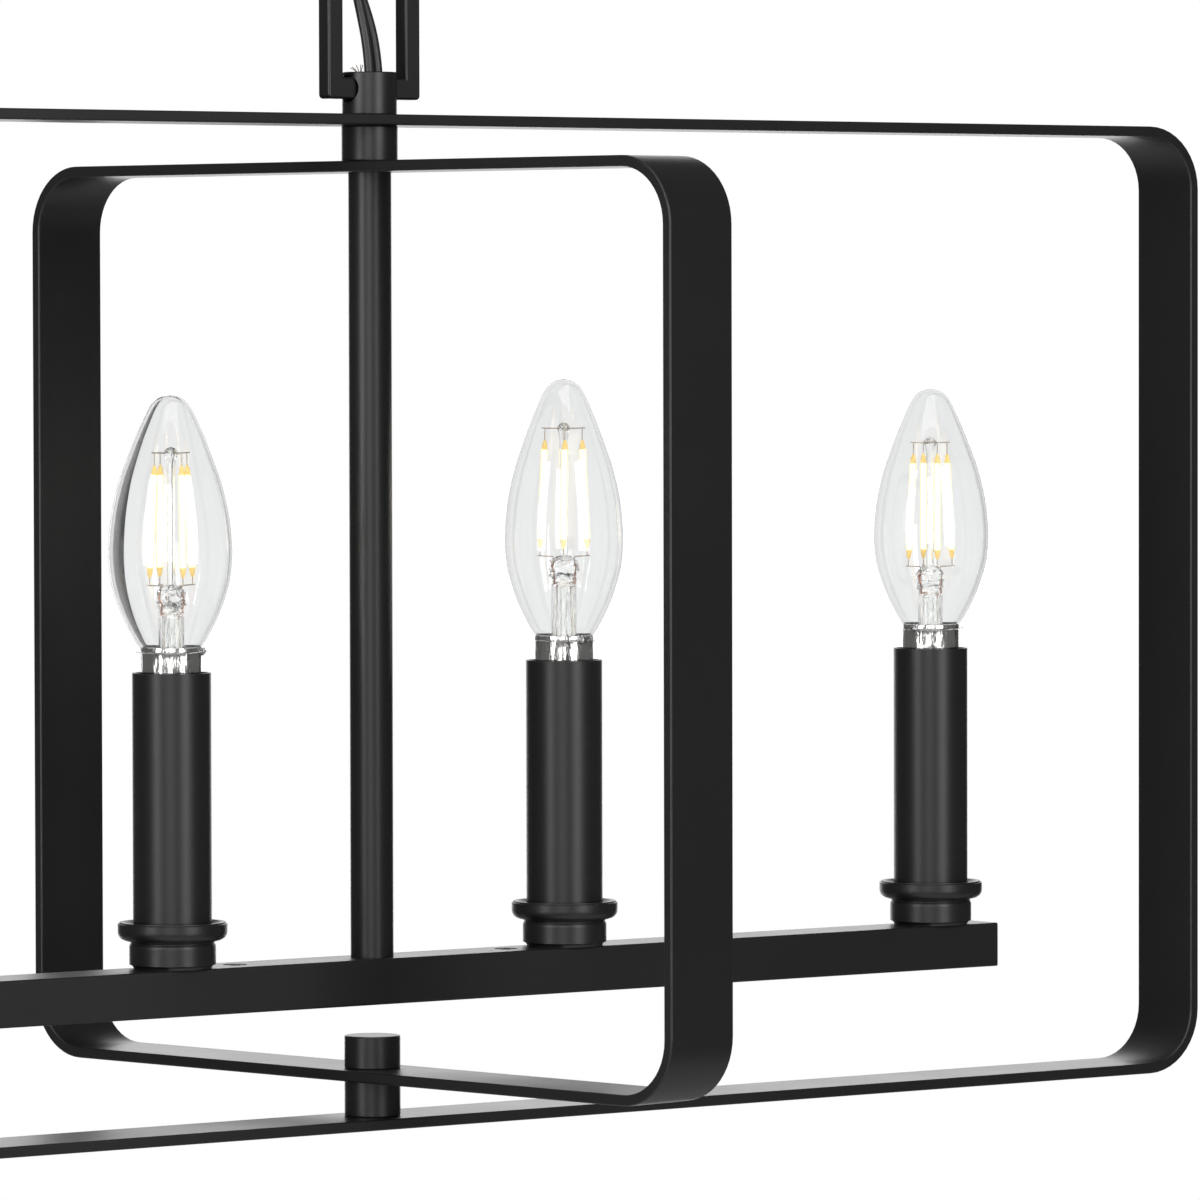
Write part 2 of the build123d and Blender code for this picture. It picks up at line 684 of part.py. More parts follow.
right_lead_middle = [
    (-3.1, 3.0, -147.6), (-4.8, 7.0, -137.6), (-5.4, 9.2, -124.8), (-5.2, 9.3, -109.2),
    (-2.4, 5.9, -97.5), (1.1, 1.3, -90.6),
]
right_lead_upper = [
    (1.1, 1.3, -90.6), (4.6, -3.3, -83.7), (8.2, -6.4, -72.4), (8.8, -6.9, -57.4),
    (6.9, -5.9, -45.4), (-0.6, -2.2, -36.4), (-1.45, 0.0, -27.4),
]
write("lead_wires_lower", wire("left lead, lower", left_lead_lower, lead_diameter),
      wire("right lead, lower", right_lead_lower, lead_diameter))
write("lead_wires_middle", wire("left lead, middle", left_lead_middle, lead_diameter),
      wire("right lead, middle", right_lead_middle, lead_diameter))
write("lead_wires_upper", wire("left lead, upper", left_lead_upper, lead_diameter),
      wire("right lead, upper", right_lead_upper, lead_diameter))

# Inside the stem the leads hang straight, and they lean forward past the link's bar in the hub.
splice_top_z = bar_floor_z + gap_fit + splice_block_height
lean_z = outer_top_z - lead_lean_drop
mouth_z = outer_top_z + lead_mouth_rise
beside_bar_z = outer_top_z + lead_beside_bar_rise
left_stem_lead = [
    (-lead_spacing / 2, 0, splice_top_z), (-lead_spacing / 2, 0, lean_z),
    (-1.35, -1.4, mouth_z), (-2.9, -4.15, beside_bar_z), left_lead_lower[0],
]
right_stem_lead = [
    (lead_spacing / 2, 0, splice_top_z), (lead_spacing / 2, 0, lean_z),
    (1.5, -1.4, mouth_z), (0.05, -4.15, beside_bar_z), right_lead_lower[0],
]
write("stem_leads", wire("left stem lead", left_stem_lead, lead_diameter),
      wire("right stem lead", right_stem_lead, lead_diameter))

# The bare earth wire comes up behind the leads.  Its loose strands start as a ring and fan out in
# one direction: the ones that start farthest that way lean the most, so that none cross.
strand_z = hub_top_z - strand_root_drop
ground_route = [
    (0, 2.6, splice_top_z), (0, 2.6, lean_z), (-0.3, 2.9, mouth_z), (-0.8, 3.5, beside_bar_z),
    (-0.9, 3.6, strand_z),
]
ground_pieces = [wire("earth wire", ground_route, ground_wire_diameter)]
fan_way = Vector(1, 0, 0).rotate(Axis.Z, strand_heading)
beside_fan = Vector(0, 1, 0).rotate(Axis.Z, strand_heading)
ring_radius = (ground_wire_diameter - strand_diameter) / 2
for index in range(strand_count):
    around = 2 * pi * index / strand_count
    spread = (1 + cos(around)) / 2
    lean = radians(strand_least_lean + (strand_most_lean - strand_least_lean) * spread)
    root = Vector(ground_route[-1]) + ring_radius * (cos(around) * fan_way + sin(around) * beside_fan)
    half = strand_length / 2
    middle = root + half * (sin(lean / 2) * fan_way + cos(lean / 2) * Vector(0, 0, 1))
    end = middle + half * (sin(lean) * fan_way + cos(lean) * Vector(0, 0, 1))
    ground_pieces.append(wire(f"earth strand {index + 1}", [root, middle, end], strand_diameter))
write("ground_wire", *ground_pieces)

# Two leads drop from each socket through its nipple and run along the bar to the splice block.
lead_run_z = bar_floor_z + gap_fit + splice_block_height / 2
socket_leads = []
for number, place in enumerate(light_places, 1):
    side = 1 if place > 0 else -1
    outer_light = abs(place) > light_pitch
    for front in (-1, 1):
        drop_x = place - side * socket_lead_inset
        drop_y = front * socket_lead_spacing / 2
        beside_inner = front * ((lead_diameter + socket_lead_spacing) / 2 + socket_lead_gap)
        run_y = beside_inner if outer_light else drop_y
        route = [(drop_x, drop_y, socket_bottom_z), (drop_x, drop_y, lead_run_z)]
        if outer_light:
            jog_start = place - side * socket_lead_jog_start
            jog_end = jog_start - side * socket_lead_jog_length
            route += [(jog_start, drop_y, lead_run_z), (jog_end, run_y, lead_run_z)]
        route.append((side * splice_block_length / 2, run_y, lead_run_z))
        socket_leads.append(wire(f"socket lead {number}", route, socket_lead_diameter, socket_lead_bend))
write("socket_leads", *socket_leads)
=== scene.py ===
# %% [markdown]
# # A linear island pendant, dressed for its picture
# The packed model already holds every metal piece at its real size.  This lesson adds what the
# eye sees: powder coat, bright nickel, clear glass with glowing filament rods, and two soft leads.
# Lengths below are written in millimetres and turned into Blender's metres in one place.

# %% Load the packed model
import json
import math

import bmesh
import bpy
from mathutils import Matrix, Vector, noise


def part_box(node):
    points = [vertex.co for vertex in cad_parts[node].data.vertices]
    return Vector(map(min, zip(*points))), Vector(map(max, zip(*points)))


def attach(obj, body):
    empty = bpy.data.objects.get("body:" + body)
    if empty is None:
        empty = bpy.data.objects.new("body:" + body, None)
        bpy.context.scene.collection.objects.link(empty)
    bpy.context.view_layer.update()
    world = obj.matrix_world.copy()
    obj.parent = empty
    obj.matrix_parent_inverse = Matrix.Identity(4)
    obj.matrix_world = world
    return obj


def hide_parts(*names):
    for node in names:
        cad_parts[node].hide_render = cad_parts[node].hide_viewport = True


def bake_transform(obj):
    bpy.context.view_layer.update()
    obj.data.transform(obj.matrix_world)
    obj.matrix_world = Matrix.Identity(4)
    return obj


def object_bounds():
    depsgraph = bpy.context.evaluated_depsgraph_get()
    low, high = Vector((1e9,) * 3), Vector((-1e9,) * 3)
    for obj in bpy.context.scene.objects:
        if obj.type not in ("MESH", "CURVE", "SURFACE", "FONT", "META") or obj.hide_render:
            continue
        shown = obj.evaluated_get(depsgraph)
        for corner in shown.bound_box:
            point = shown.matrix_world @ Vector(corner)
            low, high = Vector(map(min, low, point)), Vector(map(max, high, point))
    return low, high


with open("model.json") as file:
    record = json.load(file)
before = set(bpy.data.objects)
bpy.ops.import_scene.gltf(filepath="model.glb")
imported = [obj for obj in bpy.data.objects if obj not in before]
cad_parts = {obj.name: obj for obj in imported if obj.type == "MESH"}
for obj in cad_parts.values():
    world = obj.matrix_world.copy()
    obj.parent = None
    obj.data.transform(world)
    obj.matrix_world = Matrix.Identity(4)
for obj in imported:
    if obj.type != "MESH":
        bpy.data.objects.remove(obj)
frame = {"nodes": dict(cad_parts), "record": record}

MM = 0.001
cad_low, cad_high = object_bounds()
print("CAD box in metres:", [round(v, 4) for v in (*cad_low, *cad_high)])

# %% [markdown]
# ## The camera
# The photograph was taken with a long lens from the front left, a little below the canopy.  Its
# place came from a fit of straight edges of the two frames, the bar and the stem.  A camera looks
# along its own -Z, so its matrix is built from the three directions right, up and back.

# %% Camera
CAMERA_PLACE = Vector((-1398.11, -1935.34, -245.02))
CAMERA_YAW, CAMERA_PITCH, CAMERA_ROLL = -0.6528, -0.0332, -0.0022
PHOTO_SIDE, FOCAL_PIXELS, SENSOR = 1200, 8422.81, 36.0

level_right = Vector((math.cos(CAMERA_YAW), math.sin(CAMERA_YAW), 0))
level_ahead = Vector((-math.sin(CAMERA_YAW), math.cos(CAMERA_YAW), 0))
straight_up = Vector((0, 0, 1))
ahead = math.cos(CAMERA_PITCH) * level_ahead + math.sin(CAMERA_PITCH) * straight_up
tilted_up = math.cos(CAMERA_PITCH) * straight_up - math.sin(CAMERA_PITCH) * level_ahead
right = math.cos(CAMERA_ROLL) * level_right + math.sin(CAMERA_ROLL) * tilted_up
up = math.cos(CAMERA_ROLL) * tilted_up - math.sin(CAMERA_ROLL) * level_right

camera = bpy.data.objects.new("camera", bpy.data.cameras.new("camera"))
bpy.context.scene.collection.objects.link(camera)
turn = Matrix((right, up, -ahead)).transposed().to_4x4()
camera.matrix_world = Matrix.Translation(CAMERA_PLACE * MM) @ turn
camera.data.sensor_width = SENSOR
camera.data.lens = FOCAL_PIXELS / PHOTO_SIDE * SENSOR
bpy.context.scene.camera = camera
bpy.context.scene.view_settings.view_transform = "Standard"
print("lens in mm:", round(camera.data.lens, 1))

# %% [markdown]
# ## Arithmetic for shaders
# A material is a graph of nodes, and a formula drawn as nodes is hard to read.  This small class
# wraps one socket, so that `0.3 + grain * 0.1` adds its two Math nodes by itself.


# %% A socket that can be calculated with
class Wire:
    """The output of one node, which can be added to and multiplied."""

    def __init__(self, finish, socket):
        self.finish = finish
        self.socket = socket

    def math(self, operation, first, second):
        return self.finish.node("ShaderNodeMath", {"operation": operation}, {0: first, 1: second})

    def __add__(self, other):
        return self.math("ADD", self, other)

    def __mul__(self, other):
        return self.math("MULTIPLY", self, other)

    __radd__ = __add__
    __rmul__ = __mul__


print("a wire adds and multiplies, also from the right:", Wire.__radd__ is Wire.__add__)


# %% [markdown]
# ## One class for every finish
# A finish is a Principled shader and the nodes that feed it.  Plain values go straight onto the
# shader's sockets, and any other node comes from one method, which sets the node's options first
# and then its sockets.  Noise in the model's own metres keeps the grain the same on every piece.


# %% A finish
class Finish:
    """One material: a Principled shader and whatever feeds it."""

    def __init__(self, name, **settings):
        self.material = bpy.data.materials.new(name)
        self.material.use_nodes = True
        self.tree = self.material.node_tree
        self.shader = next(n for n in self.tree.nodes if n.type == "BSDF_PRINCIPLED")
        for socket, value in settings.items():
            self.set(socket.replace("_", " "), value)

    def put(self, socket, value):
        """Links a wire to a socket, or writes a plain value on it."""
        if isinstance(value, Wire):
            self.tree.links.new(value.socket, socket)
        elif socket.type == "RGBA" and len(value) == 3:
            socket.default_value = (*value, 1)
        else:
            socket.default_value = value

    def set(self, socket, value):
        self.put(self.shader.inputs[socket], value)

    def node(self, kind, options, inputs, output=0):
        made = self.tree.nodes.new(kind)
        for option, value in options.items():
            setattr(made, option, value)
        for socket, value in inputs.items():
            self.put(made.inputs[socket], value)
        return Wire(self, made.outputs[output])

    def place(self):
        """The point being shaded, in metres in the model's own frame."""
        return self.node("ShaderNodeTexCoord", {}, {}, "Object")

    def stretched(self, scale):
        """The same point with each axis scaled, for grain that runs one way."""
        return self.node("ShaderNodeMapping", {}, {"Vector": self.place(), "Scale": scale})

    def cloud(self, vector, scale, detail=3.0):
        """Soft noise from 0 to 1; scale is in waves for each metre."""
        inputs = {"Vector": vector, "Scale": scale, "Detail": detail}
        return self.node("ShaderNodeTexNoise", {}, inputs)

    def blend(self, mask, first, second):
        """A colour between two others."""
        options = {"data_type": "RGBA"}
        return self.node("ShaderNodeMix", options, {0: mask, 6: first, 7: second}, 2)

    def dent(self, height, distance, strength=1.0):
        """Turns a height from 0 to 1 into a bumped normal; distance is the bump's depth in metres."""
        inputs = {"Height": height, "Distance": distance, "Strength": strength}
        self.set("Normal", self.node("ShaderNodeBump", {}, inputs))


print("a finish can:", [name for name in vars(Finish) if not name.startswith("_")])

# %% [markdown]
# ## Which piece gets which finish
# The packed record already says for each piece what it is made of.  Its pieces are sorted by that
# word once, and a finish is then given to the whole group, so no piece is forgotten by name.

# %% Pieces by what they are made of
SLOT_NODES = {}
for subpart in frame["record"]["subparts"]:
    SLOT_NODES.setdefault(subpart["material_slot"], []).append(subpart["node"])
print("finishes asked for:", sorted(SLOT_NODES))


def dress(node, finish):
    """Gives one CAD piece a finish without touching its shape."""
    mesh = frame["nodes"][node].data
    mesh.materials.clear()
    mesh.materials.append(finish.material)


def coat(slot, finish):
    """Dresses every CAD piece that is made of the same thing."""
    for node in SLOT_NODES[slot]:
        dress(node, finish)
    print(finish.material.name, "is on", len(SLOT_NODES[slot]), "pieces")

# %% [markdown]
# ## Black vinyl for the leads
# The leads' insulation is smooth extruded vinyl: black, a little shinier than the metal's coat,
# with faint lines along it from the die.  Fine noise in the roughness is enough at this size.

# %% Lead insulation
SHEEN_LINES, DIE_LINES = (1, 1, 0.1), (1, 1, 0.06)
SHEEN_WAVES, DIE_WAVES, DIE_DEPTH = 2200, 3000, 0.00002
vinyl = Finish("black_vinyl", Base_Color=(0.017, 0.017, 0.018), Roughness=0.36)
vinyl.set("Roughness", 0.30 + vinyl.cloud(vinyl.stretched(SHEEN_LINES), SHEEN_WAVES) * 0.14)
vinyl.dent(vinyl.cloud(vinyl.stretched(DIE_LINES), DIE_WAVES), DIE_DEPTH)
coat("black_lead", vinyl)
coat("socket_lead", vinyl)

# %% [markdown]
# ## Where the two leads run
# Two leads come out of the hub and climb to the canopy, now in front of a link's bar and now
# behind it.  The points are chosen beside the links.  Each lead is cut at the middle of
# each link, so that each stretch crosses only one hinge.

# %% Lead routes
LEAD_DIAMETER = 2.8
LEAD_ROUTES = {
    "left_lead_lower": [
        (-2.9, -4.15, -177.6), (-3.1, -3.9, -169.5), (-4.3, -1.9, -157.6), (-5.1, 0.8, -147.6),
    ],
    "left_lead_middle": [
        (-5.1, 0.8, -147.6), (-5.9, 3.5, -137.6), (-6.4, 6.2, -124.8), (-6.2, 6.4, -109.2),
        (-4.2, 3.3, -97.5), (-1.4, -0.7, -90.6),
    ],
    "left_lead_upper": [
        (-1.4, -0.7, -90.6), (1.4, -4.7, -83.7), (5.2, -6.2, -72.4), (5.8, -6.4, -57.4),
        (4.4, -4.4, -45.4), (1.9, -0.9, -37.4), (1.45, 0.0, -27.4),
    ],
    "right_lead_lower": [
        (0.05, -4.15, -177.6), (-0.1, -3.7, -169.5), (-1.4, -1.0, -157.6), (-3.1, 3.0, -147.6),
    ],
    "right_lead_middle": [
        (-3.1, 3.0, -147.6), (-4.8, 7.0, -137.6), (-5.4, 9.2, -124.8), (-5.2, 9.3, -109.2),
        (-2.4, 5.9, -97.5), (1.1, 1.3, -90.6),
    ],
    "right_lead_upper": [
        (1.1, 1.3, -90.6), (4.6, -3.3, -83.7), (8.2, -6.4, -72.4), (8.8, -6.9, -57.4),
        (6.9, -5.9, -45.4), (-0.6, -2.2, -36.4), (-1.45, 0.0, -27.4),
    ],
}
print("stretches of lead:", len(LEAD_ROUTES))


# %% [markdown]
# ## Tubes along a smooth line
# A lead or a thin wire is a smooth line with a round section.  A NURBS spline follows the points
# of its route without kinks.  It is then turned into a mesh.

# %% A tube and how it is shown
TUBE_SIDES, TUBE_STEPS = 5, 12
SHARPEST_SMOOTH_CORNER = math.radians(35)


def smooth_curve(name, points, radius):
    """A NURBS curve, in metres, through the neighbourhood of the points given in millimetres."""
    data = bpy.data.curves.new(name, "CURVE")
    data.dimensions = "3D"
    data.resolution_u = TUBE_STEPS
    data.bevel_depth = radius * MM
    data.bevel_resolution = TUBE_SIDES
    data.use_fill_caps = True
    spline = data.splines.new("NURBS")
    spline.points.add(len(points) - 1)
    for knot, point in zip(spline.points, points):
        knot.co = (*[v * MM for v in point], 1)
    spline.order_u = 3
    spline.use_endpoint_u = True
    return data


def mesh_of(curve):
    """The mesh that a curve makes, and nothing left of the curve itself."""
    holder = bpy.data.objects.new("holder", curve)
    bpy.context.scene.collection.objects.link(holder)
    evaluated = holder.evaluated_get(bpy.context.evaluated_depsgraph_get())
    made = bpy.data.meshes.new_from_object(evaluated)
    bpy.data.objects.remove(holder)
    return made


def show(name, mesh, finish):
    """Puts a mesh in the scene, smooth where it is round and sharp at its corners."""
    piece = bpy.data.objects.new(name, mesh)
    bpy.context.scene.collection.objects.link(piece)
    mesh.materials.clear()
    mesh.materials.append(finish.material)
    mesh.polygons.foreach_set("use_smooth", [True] * len(mesh.polygons))
    mesh.set_sharp_from_angle(angle=SHARPEST_SMOOTH_CORNER)
    return piece


def tube(name, points, diameter, finish):
    """A round tube along a smooth line."""
    return show(name, mesh_of(smooth_curve(name, points, diameter / 2)), finish)


print("flat sides of a tube:", 2 * (TUBE_SIDES + 2))

# %% [markdown]
# ## The leads themselves
# Each stretch is a tube along its route, and its length along the line is printed.  It takes the
# place of the plain lead in the packed model.

# %% Leads
for name, points in LEAD_ROUTES.items():
    stretch = name.rsplit("_", 1)[1]
    lead = tube(name, points, LEAD_DIAMETER, vinyl)
    line = [tuple(v.co) for v in mesh_of(smooth_curve(name, points, 0)).vertices]
    length = sum(math.dist(a, b) for a, b in zip(line, line[1:]))
    start, end = (0, 0, points[0][2] * MM), (0, 0, points[-1][2] * MM)
    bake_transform(lead)
    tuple(start)
    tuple(end)
    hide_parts(f"lead_wires_{stretch}")
    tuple(line[0])
    print(name, "length in mm:", round(length / MM, 1))

# %% [markdown]
# ## Satin black powder coat
# Powder coat is a thin baked plastic skin.  It is almost black, its gloss is a soft satin, and
# close up it has a very fine orange peel.  One Principled shader holds that: a dark base, roughness
# near 0.4 that wanders a little, and a bump a few hundredths of a millimetre deep.

# %% Powder coat on flat bands and the bar
COAT_COLOR = (0.0062, 0.0062, 0.0066)
COAT_WORN = (0.0088, 0.0088, 0.0091)
COAT_GLOSS, COAT_WANDER, PEEL_WANDER, COAT_MIDDLE = 0.31, 0.08, 0.06, 0.4
DRIFT_WAVES = 28
PEEL_WAVES, PEEL_DETAIL, PEEL_DEPTH, PEEL_STRENGTH = 2600, 2.0, 0.00003, 0.6


def powder_coat(name):
    """Black powder coat on flat metal, with slow patches and a fine orange peel."""
    finish = Finish(name, Base_Color=COAT_COLOR, Roughness=COAT_MIDDLE)
    drift = finish.cloud(finish.place(), DRIFT_WAVES)
    peel = finish.cloud(finish.place(), PEEL_WAVES, PEEL_DETAIL)
    finish.set("Base Color", finish.blend(drift, COAT_COLOR, COAT_WORN))
    finish.set("Roughness", COAT_GLOSS + drift * COAT_WANDER + peel * PEEL_WANDER)
    finish.dent(peel, PEEL_DEPTH, PEEL_STRENGTH)
    return finish


coat("black_coat", powder_coat("powder_coat"))

# %% [markdown]
# ## Powder coat over turned metal
# The stem, spacers, cups and sleeves were turned or drawn before they were coated.  The tool left
# fine rings, which the coat softens but does not hide.  Noise that changes slowly across and fast
# along Z gives them.

# %% Powder coat over turned metal
TURNED = ["top_hub", "upper_spacer", "lower_spacer", "lower_finial", "stem", "canopy_ring"]
TURNED += [f"candle_cup_{n}" for n in range(1, 5)] + [f"candle_sleeve_{n}" for n in range(1, 5)]


RING_SHAPE, RING_WAVES, RING_DETAIL = (0.04, 0.04, 1.0), 1500, 4.0
RING_SHARE, PEEL_SHARE = 0.6, 0.4


def turned_coat(name):
    """The same coat over the fine rings that a turning tool leaves."""
    finish = Finish(name, Base_Color=COAT_COLOR, Roughness=COAT_MIDDLE)
    rings = finish.cloud(finish.stretched(RING_SHAPE), RING_WAVES, RING_DETAIL)
    peel = finish.cloud(finish.place(), PEEL_WAVES, PEEL_DETAIL)
    finish.set("Base Color", finish.blend(rings, COAT_COLOR, COAT_WORN))
    finish.set("Roughness", COAT_GLOSS + rings * COAT_WANDER + peel * PEEL_WANDER)
    finish.dent(rings * RING_SHARE + peel * PEEL_SHARE, PEEL_DEPTH, PEEL_STRENGTH)
    return finish


ring_coat = turned_coat("turned_powder_coat")
for node in TURNED:
    dress(node, ring_coat)
print("turned pieces:", len(TURNED))

# %% [markdown]
# ## Small metals
# Zinc-plated nuts, brass shells, copper strands and oxidised screws mostly hide inside the bar,
# the sleeves and the canopy, but they show when the part is taken apart or seen from above.  One
# function makes them all, because plating and drawing both leave a gloss that wanders.

# %% Bare metals
METAL_DETAIL, METAL_SHADE, METAL_DEPTH = 4.0, 0.78, 0.00004
SOFT_DENT = 0.5


def metal(name, color, roughness, waves, spread):
    """A metal whose gloss and tone wander from place to place, as plating does."""
    finish = Finish(name, Metallic=1.0)
    patches = finish.cloud(finish.place(), waves, METAL_DETAIL)
    darker = tuple(v * METAL_SHADE for v in color)
    finish.set("Base Color", finish.blend(patches, darker, color))
    finish.set("Roughness", roughness + patches * spread)
    finish.dent(patches, METAL_DEPTH, SOFT_DENT)
    return finish


coat("zinc_steel", metal("zinc_plate", (0.66, 0.67, 0.66), roughness=0.24, waves=240, spread=0.22))
coat("shell_brass", metal("drawn_brass", (0.76, 0.56, 0.25), roughness=0.18, waves=180, spread=0.18))
coat("bare_copper", metal("earth_strands", (0.34, 0.26, 0.22), roughness=0.35, waves=600, spread=0.2))
coat("dark_screws", metal("black_oxide", (0.05, 0.05, 0.05), roughness=0.38, waves=500, spread=0.15))

# %% [markdown]
# ## Porcelain, nylon and green lacquer
# The sockets are glazed porcelain, the splice block is moulded nylon, and the earthing screw is
# lacquered green.  None is a metal, so their colour stays and only their gloss differs.

# %% Skins that are not metal
SKIN_DETAIL, SKIN_SHADE = 2.0, 0.9


def moulded(name, color, roughness, waves, spread, depth):
    """A glazed, moulded or lacquered skin with a slight unevenness."""
    finish = Finish(name)
    skin = finish.cloud(finish.place(), waves, SKIN_DETAIL)
    duller = tuple(v * SKIN_SHADE for v in color)
    finish.set("Base Color", finish.blend(skin, duller, color))
    finish.set("Roughness", roughness + skin * spread)
    finish.dent(skin, depth, SOFT_DENT)
    return finish


GLAZE_DEPTH, MOULD_DEPTH = 0.00008, 0.00003
porcelain = moulded("glazed_porcelain", (0.78, 0.77, 0.73), 0.12, waves=120, spread=0.1, depth=GLAZE_DEPTH)
nylon = moulded("white_nylon", (0.76, 0.76, 0.73), 0.42, waves=700, spread=0.15, depth=MOULD_DEPTH)
lacquer = moulded("green_lacquer", (0.03, 0.22, 0.06), 0.25, waves=400, spread=0.15, depth=MOULD_DEPTH)
coat("white_porcelain", porcelain)
coat("white_nylon", nylon)
coat("green_screw", lacquer)

# %% [markdown]
# ## Clear glass
# The lamp's glass is blown less than a millimetre thick.  Two real surfaces with a refracting
# shader between them bend the light twice, which leaves the middle clear and draws the outline as
# a grey edge.  The pressed glass inside is wavier, so it gets a bump that runs along it.

# %% Glass
PRESSED_LINES, PRESSED_WAVES, PRESSED_DEPTH = (1, 1, 0.2), 900, 0.0002
clear = Finish("clear_glass", Base_Color=(0.925, 0.93, 0.93), Roughness=0.0, IOR=1.45)
clear.set("Transmission Weight", 1.0)
stem_glass = Finish("stem_glass", Base_Color=(0.96, 0.965, 0.96), Roughness=0.0, IOR=1.5)
stem_glass.set("Transmission Weight", 1.0)
stem_glass.dent(stem_glass.cloud(stem_glass.stretched(PRESSED_LINES), PRESSED_WAVES), PRESSED_DEPTH)
print("two glasses made:", clear.material.name, stem_glass.material.name)

# %% [markdown]
# ## Filament rods
# A filament rod is a thin sapphire strip of tiny LEDs under a yellow coat.  Lit, it burns out to
# white, and only the coat beside the strip and the two unlit ends stay yellow.  It is built the
# same way here: a bright core inside a thin coat that lets a fifth of the light straight through.

# %% Glow and the coat over it
glow = Finish("filament_core", Base_Color=(0.9, 0.85, 0.7), Roughness=0.5)
glow.set("Emission Color", (1.0, 0.95, 0.84))
glow.set("Emission Strength", 6.0)
phosphor = Finish("phosphor_coat", Base_Color=(0.7, 0.58, 0.27), Roughness=0.5, Alpha=0.8)
phosphor.set("Emission Color", (0.62, 0.53, 0.26))
phosphor.set("Emission Strength", 0.7)
amber = Finish("filament_end", Base_Color=(0.75, 0.52, 0.17), Roughness=0.45)
amber.set("Emission Color", (0.85, 0.6, 0.2))
amber.set("Emission Strength", 0.45)
print("lit finishes:", glow.material.name, phosphor.material.name, amber.material.name)

# %% [markdown]
# ## The lamp's metals
# Thin grey wires hold the rods, copper-clad ones pass through the glass, and the cap is bright
# nickel plate with one drop of solder.  The nickel is thin and was rolled, so its dents are ten
# times deeper than the grain of other metals and run a little along its height.

# %% Wires, nickel and solder
NICKEL_LINES, NICKEL_WAVES, NICKEL_DETAIL, NICKEL_DEPTH = (1, 1, 0.35), 420, 3.0, 0.00035
wire_metal = metal("support_wire", (0.42, 0.36, 0.3), roughness=0.25, waves=900, spread=0.2)
sheathed = metal("copper_clad_wire", (0.55, 0.3, 0.22), roughness=0.3, waves=900, spread=0.2)
nickel = metal("bright_nickel", (0.86, 0.85, 0.83), roughness=0.11, waves=260, spread=0.16)
nickel.dent(nickel.cloud(nickel.stretched(NICKEL_LINES), NICKEL_WAVES, NICKEL_DETAIL), NICKEL_DEPTH)
solder = metal("solder", (0.4, 0.4, 0.41), roughness=0.18, waves=800, spread=0.2)
print("depth of the nickel's dents in mm:", NICKEL_DEPTH / MM)

# %% [markdown]
# ## Turned shapes
# A lamp is round, so each of its shells is an outline spun about its axis.  Blender's Screw
# modifier can spin an edge, but plain code is as short and lets a radius change on the way
# round, which the thread and the crumpled lip need.

# %% Spinning an outline
MEETING_DISTANCE = 0.001 * MM


def lathe(name, outline, axis, finish, steps=72, wobble=None, closed=False):
    """Spins (radius, height) points in millimetres about an upright axis through a place."""
    corners, faces = [], []
    for step in range(steps):
        angle = 2 * math.pi * step / steps
        for radius, height in outline:
            if wobble:
                radius, height = wobble(radius, height, angle)
            across, along = radius * MM * math.cos(angle), radius * MM * math.sin(angle)
            corners.append((axis.x + across, axis.y + along, axis.z + height * MM))
    count = len(outline)
    pairs = list(zip(range(count), range(1, count)))
    if closed:
        pairs.append((count - 1, 0))
    for step in range(steps):
        here, there = step * count, (step + 1) % steps * count
        for low, high in pairs:
            faces.append((here + low, there + low, there + high, here + high))
    mesh = bpy.data.meshes.new(name)
    mesh.from_pydata(corners, [], faces)
    mesh.update()
    tidy_up(mesh)
    return show(name, mesh, finish)


def tidy_up(mesh):
    """Merges the points that meet on the axis and makes all faces look outwards."""
    shape = bmesh.new()
    shape.from_mesh(mesh)
    bmesh.ops.remove_doubles(shape, verts=shape.verts, dist=MEETING_DISTANCE)
    bmesh.ops.recalc_face_normals(shape, faces=shape.faces)
    shape.to_mesh(mesh)
    shape.free()


print("points closer than this become one, in mm:", MEETING_DISTANCE / MM)

# %% [markdown]
# ## A smooth outline through a few points
# A blown glass has no corner, but its outline is easiest to give as a few points read off a
# drawing.  The Catmull-Rom rule puts more points on a smooth line that passes through them all.


# %% Smoothing an outline
def between(a, b, c, d, share):
    """A value from b to c, smooth with what comes before (a) and after (d)."""
    pull = (c - a) * share
    bend = (2 * a - 5 * b + 4 * c - d) * share * share
    twist = (3 * b - a - 3 * c + d) * share ** 3
    return 0.5 * (2 * b + pull + bend + twist)


def flowing(points, steps=6):
    """The given points with more of them on the smooth line between."""
    ends = [points[0], *points, points[-1]]
    line = []
    for spans in zip(ends, ends[1:], ends[2:], ends[3:]):
        for step in range(steps):
            line.append(tuple(between(*values, step / steps) for values in zip(*spans)))
    return [*line, points[-1]]


print("halfway from 0 to 1 on a straight run:", between(-1, 0, 1, 2, 0.5))

# %% [markdown]
# ## The lamps
# All four lamps are one design.  Only the height of the glass, the height of the mount, the way
# the filaments face and the solder drop differ.  The outline is given in shares of the radius and
# of the height, so the one longer glass is stretched and not drawn again.

